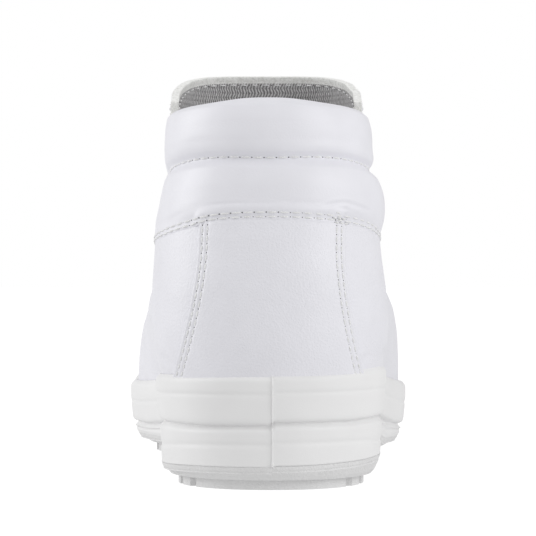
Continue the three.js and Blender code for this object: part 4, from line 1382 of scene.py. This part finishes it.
def surface_line(turn, level, lift):
    return offset_points(turn, level, np.broadcast_to(lift, turn.shape)), boot_normal(turn, level)


def collar_turns(name):
    reach = turn_of(COLLAR_END["foot"]) - SEAM_END_TURN[name]
    return np.linspace(-reach, reach, SEAM_SAMPLES)


def finish_stitches(skin, name, slot="leather"):
    place(skin.finish(name, [THREAD, HOLE_SHADE]), slot)


def stitch_top_line():
    turns = collar_turns("top_line")
    form_line = boot_point(turns, TOPLINE_HEIGHT)
    seam = Skin()
    count = 0
    for rise in (0, SEAM_ROW_GAP):
        level = TOPLINE_HEIGHT - SEAM_BELOW_LINE + rise - seam_drop(turns)
        line = surface_line(turns, level, MARGIN_STEP - SEAM_SINK + margin_lift(form_line))
        length = run_length(line[0])[-1]
        count = count or round(length / PITCH["top_line"])
        stitch_row(seam, line, length / count)
    for rise, start, end in BACK_TACKS:
        turn = np.interp(np.linspace(start, end, 20), form_line[:, 0], turns)
        level = TOPLINE_HEIGHT + rise - seam_drop(turn)
        line = surface_line(turn, level, MARGIN_STEP + PANEL_LIFT["height"])
        stitch_row(seam, line, PITCH["tack"], hole=TACK_HOLE)
    finish_stitches(seam, "stitches_top_line")


def stitch_roll_seam():
    turns = collar_turns("rolls")
    level = np.full_like(turns, ROLL_SEAM_HEIGHT)
    points, normals = surface_line(turns, level, ROLL_SEAM_LIFT)
    rolls = Skin()
    stitch_row(rolls, (settle_rolls(points, level, turns), normals), PITCH["rolls"])
    finish_stitches(rolls, "stitches_roll_seam")


def stitch_heel_panel():
    panel = Skin()
    share = np.linspace(PANEL_SEAM["from"], PANEL_SEAM["to"], 200)
    for side in (-1, 1):
        for inset in PANEL_STITCH_INSETS:
            turn, level = panel_turn(side * (panel_half(side, share) - inset), share)
            lift = GAP + PANEL_THICKNESS - PANEL_SEAM["sink"]
            stitch_row(panel, surface_line(turn, level, lift), PITCH["panel"])
    finish_stitches(panel, "stitches_heel_panel")


def stitch_gussets():
    """Rows across the flap's foot and up the collar's ends, which hold the gussets."""
    fronts = Skin()
    across = np.linspace(-FLAP_FOOT_ROWS["across"], FLAP_FOOT_ROWS["across"], 200)
    for rise in FLAP_FOOT_ROWS["rises"]:
        turn, level = flap_stop(np.full_like(across, rise / (FLAP_HEIGHT - TOPLINE_HEIGHT)), across)
        stitch_row(fronts, surface_line(turn, level, SEAM_SINK), PITCH["gusset"])
    for side in (-1, 1):
        level = np.linspace(TOPLINE_HEIGHT + GUSSET_SEAM_END, COLLAR_HEIGHT - GUSSET_SEAM_END, 120)
        turn = side * (turn_of(collar_end(level)) - SEAM_END_TURN["gusset"])
        stitch_row(fronts, surface_line(turn, level, -SEAM_SINK), PITCH["gusset"])
    finish_stitches(fronts, "stitches_gussets")


def stitch_flap():
    """A row round the flap inside its felt edge, on the outer face and on the lining."""
    flap = Skin()
    bend = FLAP_SEAM["corner"]
    up = np.linspace(FLAP_SEAM["from"], bend, 120)
    around = np.linspace(-bend, bend, 300)
    top = 1 - FLAP_SEAM["top"] * FELT_TOP / (FLAP_HEIGHT - TOPLINE_HEIGHT)
    side = float(flap_across(FLAP_SEAM["side"] * FELT_SIDE))
    corner = np.linspace(0, math.pi / 2, 24)[1:-1]
    rising, closing = mix(bend, top, np.sin(corner)), mix(bend, side, np.cos(corner))
    share = np.concatenate([up, rising, np.full(len(around), top), rising[::-1], up[::-1]])
    edge = np.full(len(up), side)
    across = np.concatenate([-edge, -closing, around, closing[::-1], edge])
    turn, level = flap_stop(share, across)
    for lift, way in ((SEAM_SINK, 1), (-FLAP_THICKNESS - SEAM_SINK, -1)):
        points, normals = surface_line(turn, level, lift)
        stitch_row(flap, (points, way * normals), PITCH["flap"], **FLAP_THREAD)
    finish_stitches(flap, "stitches_flap", "lining")


make_upper()
make_heel_panel()
make_lower_roll()
make_upper_roll()
make_gusset(1, "gusset_web_lateral", "gusset_lateral")
make_gusset(-1, "gusset_web_medial", "gusset_medial")
make_flap()
make_midsole()
make_outsole()
make_insole()
make_mould_seam()
stitch_top_line()
stitch_roll_seam()
stitch_heel_panel()
stitch_gussets()
stitch_flap()

# Stage: floor, light and camera. The camera sees floor and backdrop as pure white, the boot sees them dimmer.

FLOOR_REACH = 4.0
FLOOR_GLOW = 0.66
WORLD_GLOW = 0.63
WHITE = (1, 1, 1, 1)
LIGHT_TARGET = (0, 0, 0.07)
SOFTBOXES = {
    "left_softbox": {"stands": (-1.1, 0.05, 0.5), "size": 0.8, "watts": 5.7},
    "right_softbox": {"stands": (0.9, -0.6, 0.5), "size": 0.8, "watts": 4.2},
    "top_softbox": {"stands": (0, -0.4, 1.1), "size": 0.9, "watts": 0.5},
}


def make_floor():
    mesh = bpy.data.meshes.new("studio_floor")
    r = FLOOR_REACH
    mesh.from_pydata([(-r, -r, 0), (r, -r, 0), (r, r, 0), (-r, r, 0)], [], [(0, 1, 2, 3)])
    floor = bpy.data.objects.new("studio_floor", mesh)
    bpy.context.scene.collection.objects.link(floor)
    paint = Paint("studio_floor", grey(0.1), 0.9)
    paint.give("Specular IOR Level", 0)
    paint.give("Emission Color", WHITE)
    glow = paint.nodes.new("ShaderNodeMapRange")
    glow.inputs["To Min"].default_value = FLOOR_GLOW
    glow.inputs["To Max"].default_value = 1
    path = paint.nodes.new("ShaderNodeLightPath")
    paint.links.new(path.outputs["Is Camera Ray"], glow.inputs["Value"])
    paint.give("Emission Strength", glow.outputs["Result"])
    mesh.materials.append(paint.material)


def make_light(name, stands, size, watts):
    light = bpy.data.lights.new(name, "AREA")
    light.shape = "SQUARE"
    light.size = size
    light.energy = watts
    lamp = bpy.data.objects.new(name, light)
    bpy.context.scene.collection.objects.link(lamp)
    lamp.location = stands
    x, y, z = np.array(LIGHT_TARGET) - np.array(stands)
    lamp.rotation_euler = (math.atan2(math.hypot(x, y), -z), 0, math.atan2(-x, y))


def make_world():
    world = bpy.data.worlds.new("studio_world")
    world.use_nodes = True
    nodes, links = world.node_tree.nodes, world.node_tree.links
    lit, seen = nodes["Background"], nodes.new("ShaderNodeBackground")
    for node, strength in ((lit, WORLD_GLOW), (seen, 1.0)):
        node.inputs["Color"].default_value = WHITE
        node.inputs["Strength"].default_value = strength
    path = nodes.new("ShaderNodeLightPath")
    both = nodes.new("ShaderNodeMixShader")
    links.new(path.outputs["Is Camera Ray"], both.inputs["Fac"])
    links.new(lit.outputs["Background"], both.inputs[1])
    links.new(seen.outputs["Background"], both.inputs[2])
    links.new(both.outputs["Shader"], nodes["World Output"].inputs["Surface"])
    bpy.context.scene.world = world


# The photograph was taken from straight behind the heel, a little above the boot's middle.
CAMERA_BEHIND = 1.100
CAMERA_HEIGHT = 0.085
CAMERA_ASIDE = 0.00045
IMAGE_SIZE = 536
FOCAL_PIXELS = 2810
HORIZON_ABOVE_CENTRE = 27
SENSOR = 36


def make_camera():
    data = bpy.data.cameras.new("photo_camera")
    data.sensor_width = SENSOR
    data.lens = FOCAL_PIXELS / IMAGE_SIZE * SENSOR
    camera = bpy.data.objects.new("photo_camera", data)
    camera.location = (CAMERA_ASIDE, -CAMERA_BEHIND, CAMERA_HEIGHT)
    camera.rotation_euler = (math.pi / 2 - math.atan(HORIZON_ABOVE_CENTRE / FOCAL_PIXELS), 0, 0)
    bpy.context.scene.collection.objects.link(camera)
    bpy.context.scene.camera = camera


make_floor()
for light_name, light in SOFTBOXES.items():
    make_light(light_name, **light)
make_world()
make_camera()
bpy.context.scene.view_settings.view_transform = "Standard"
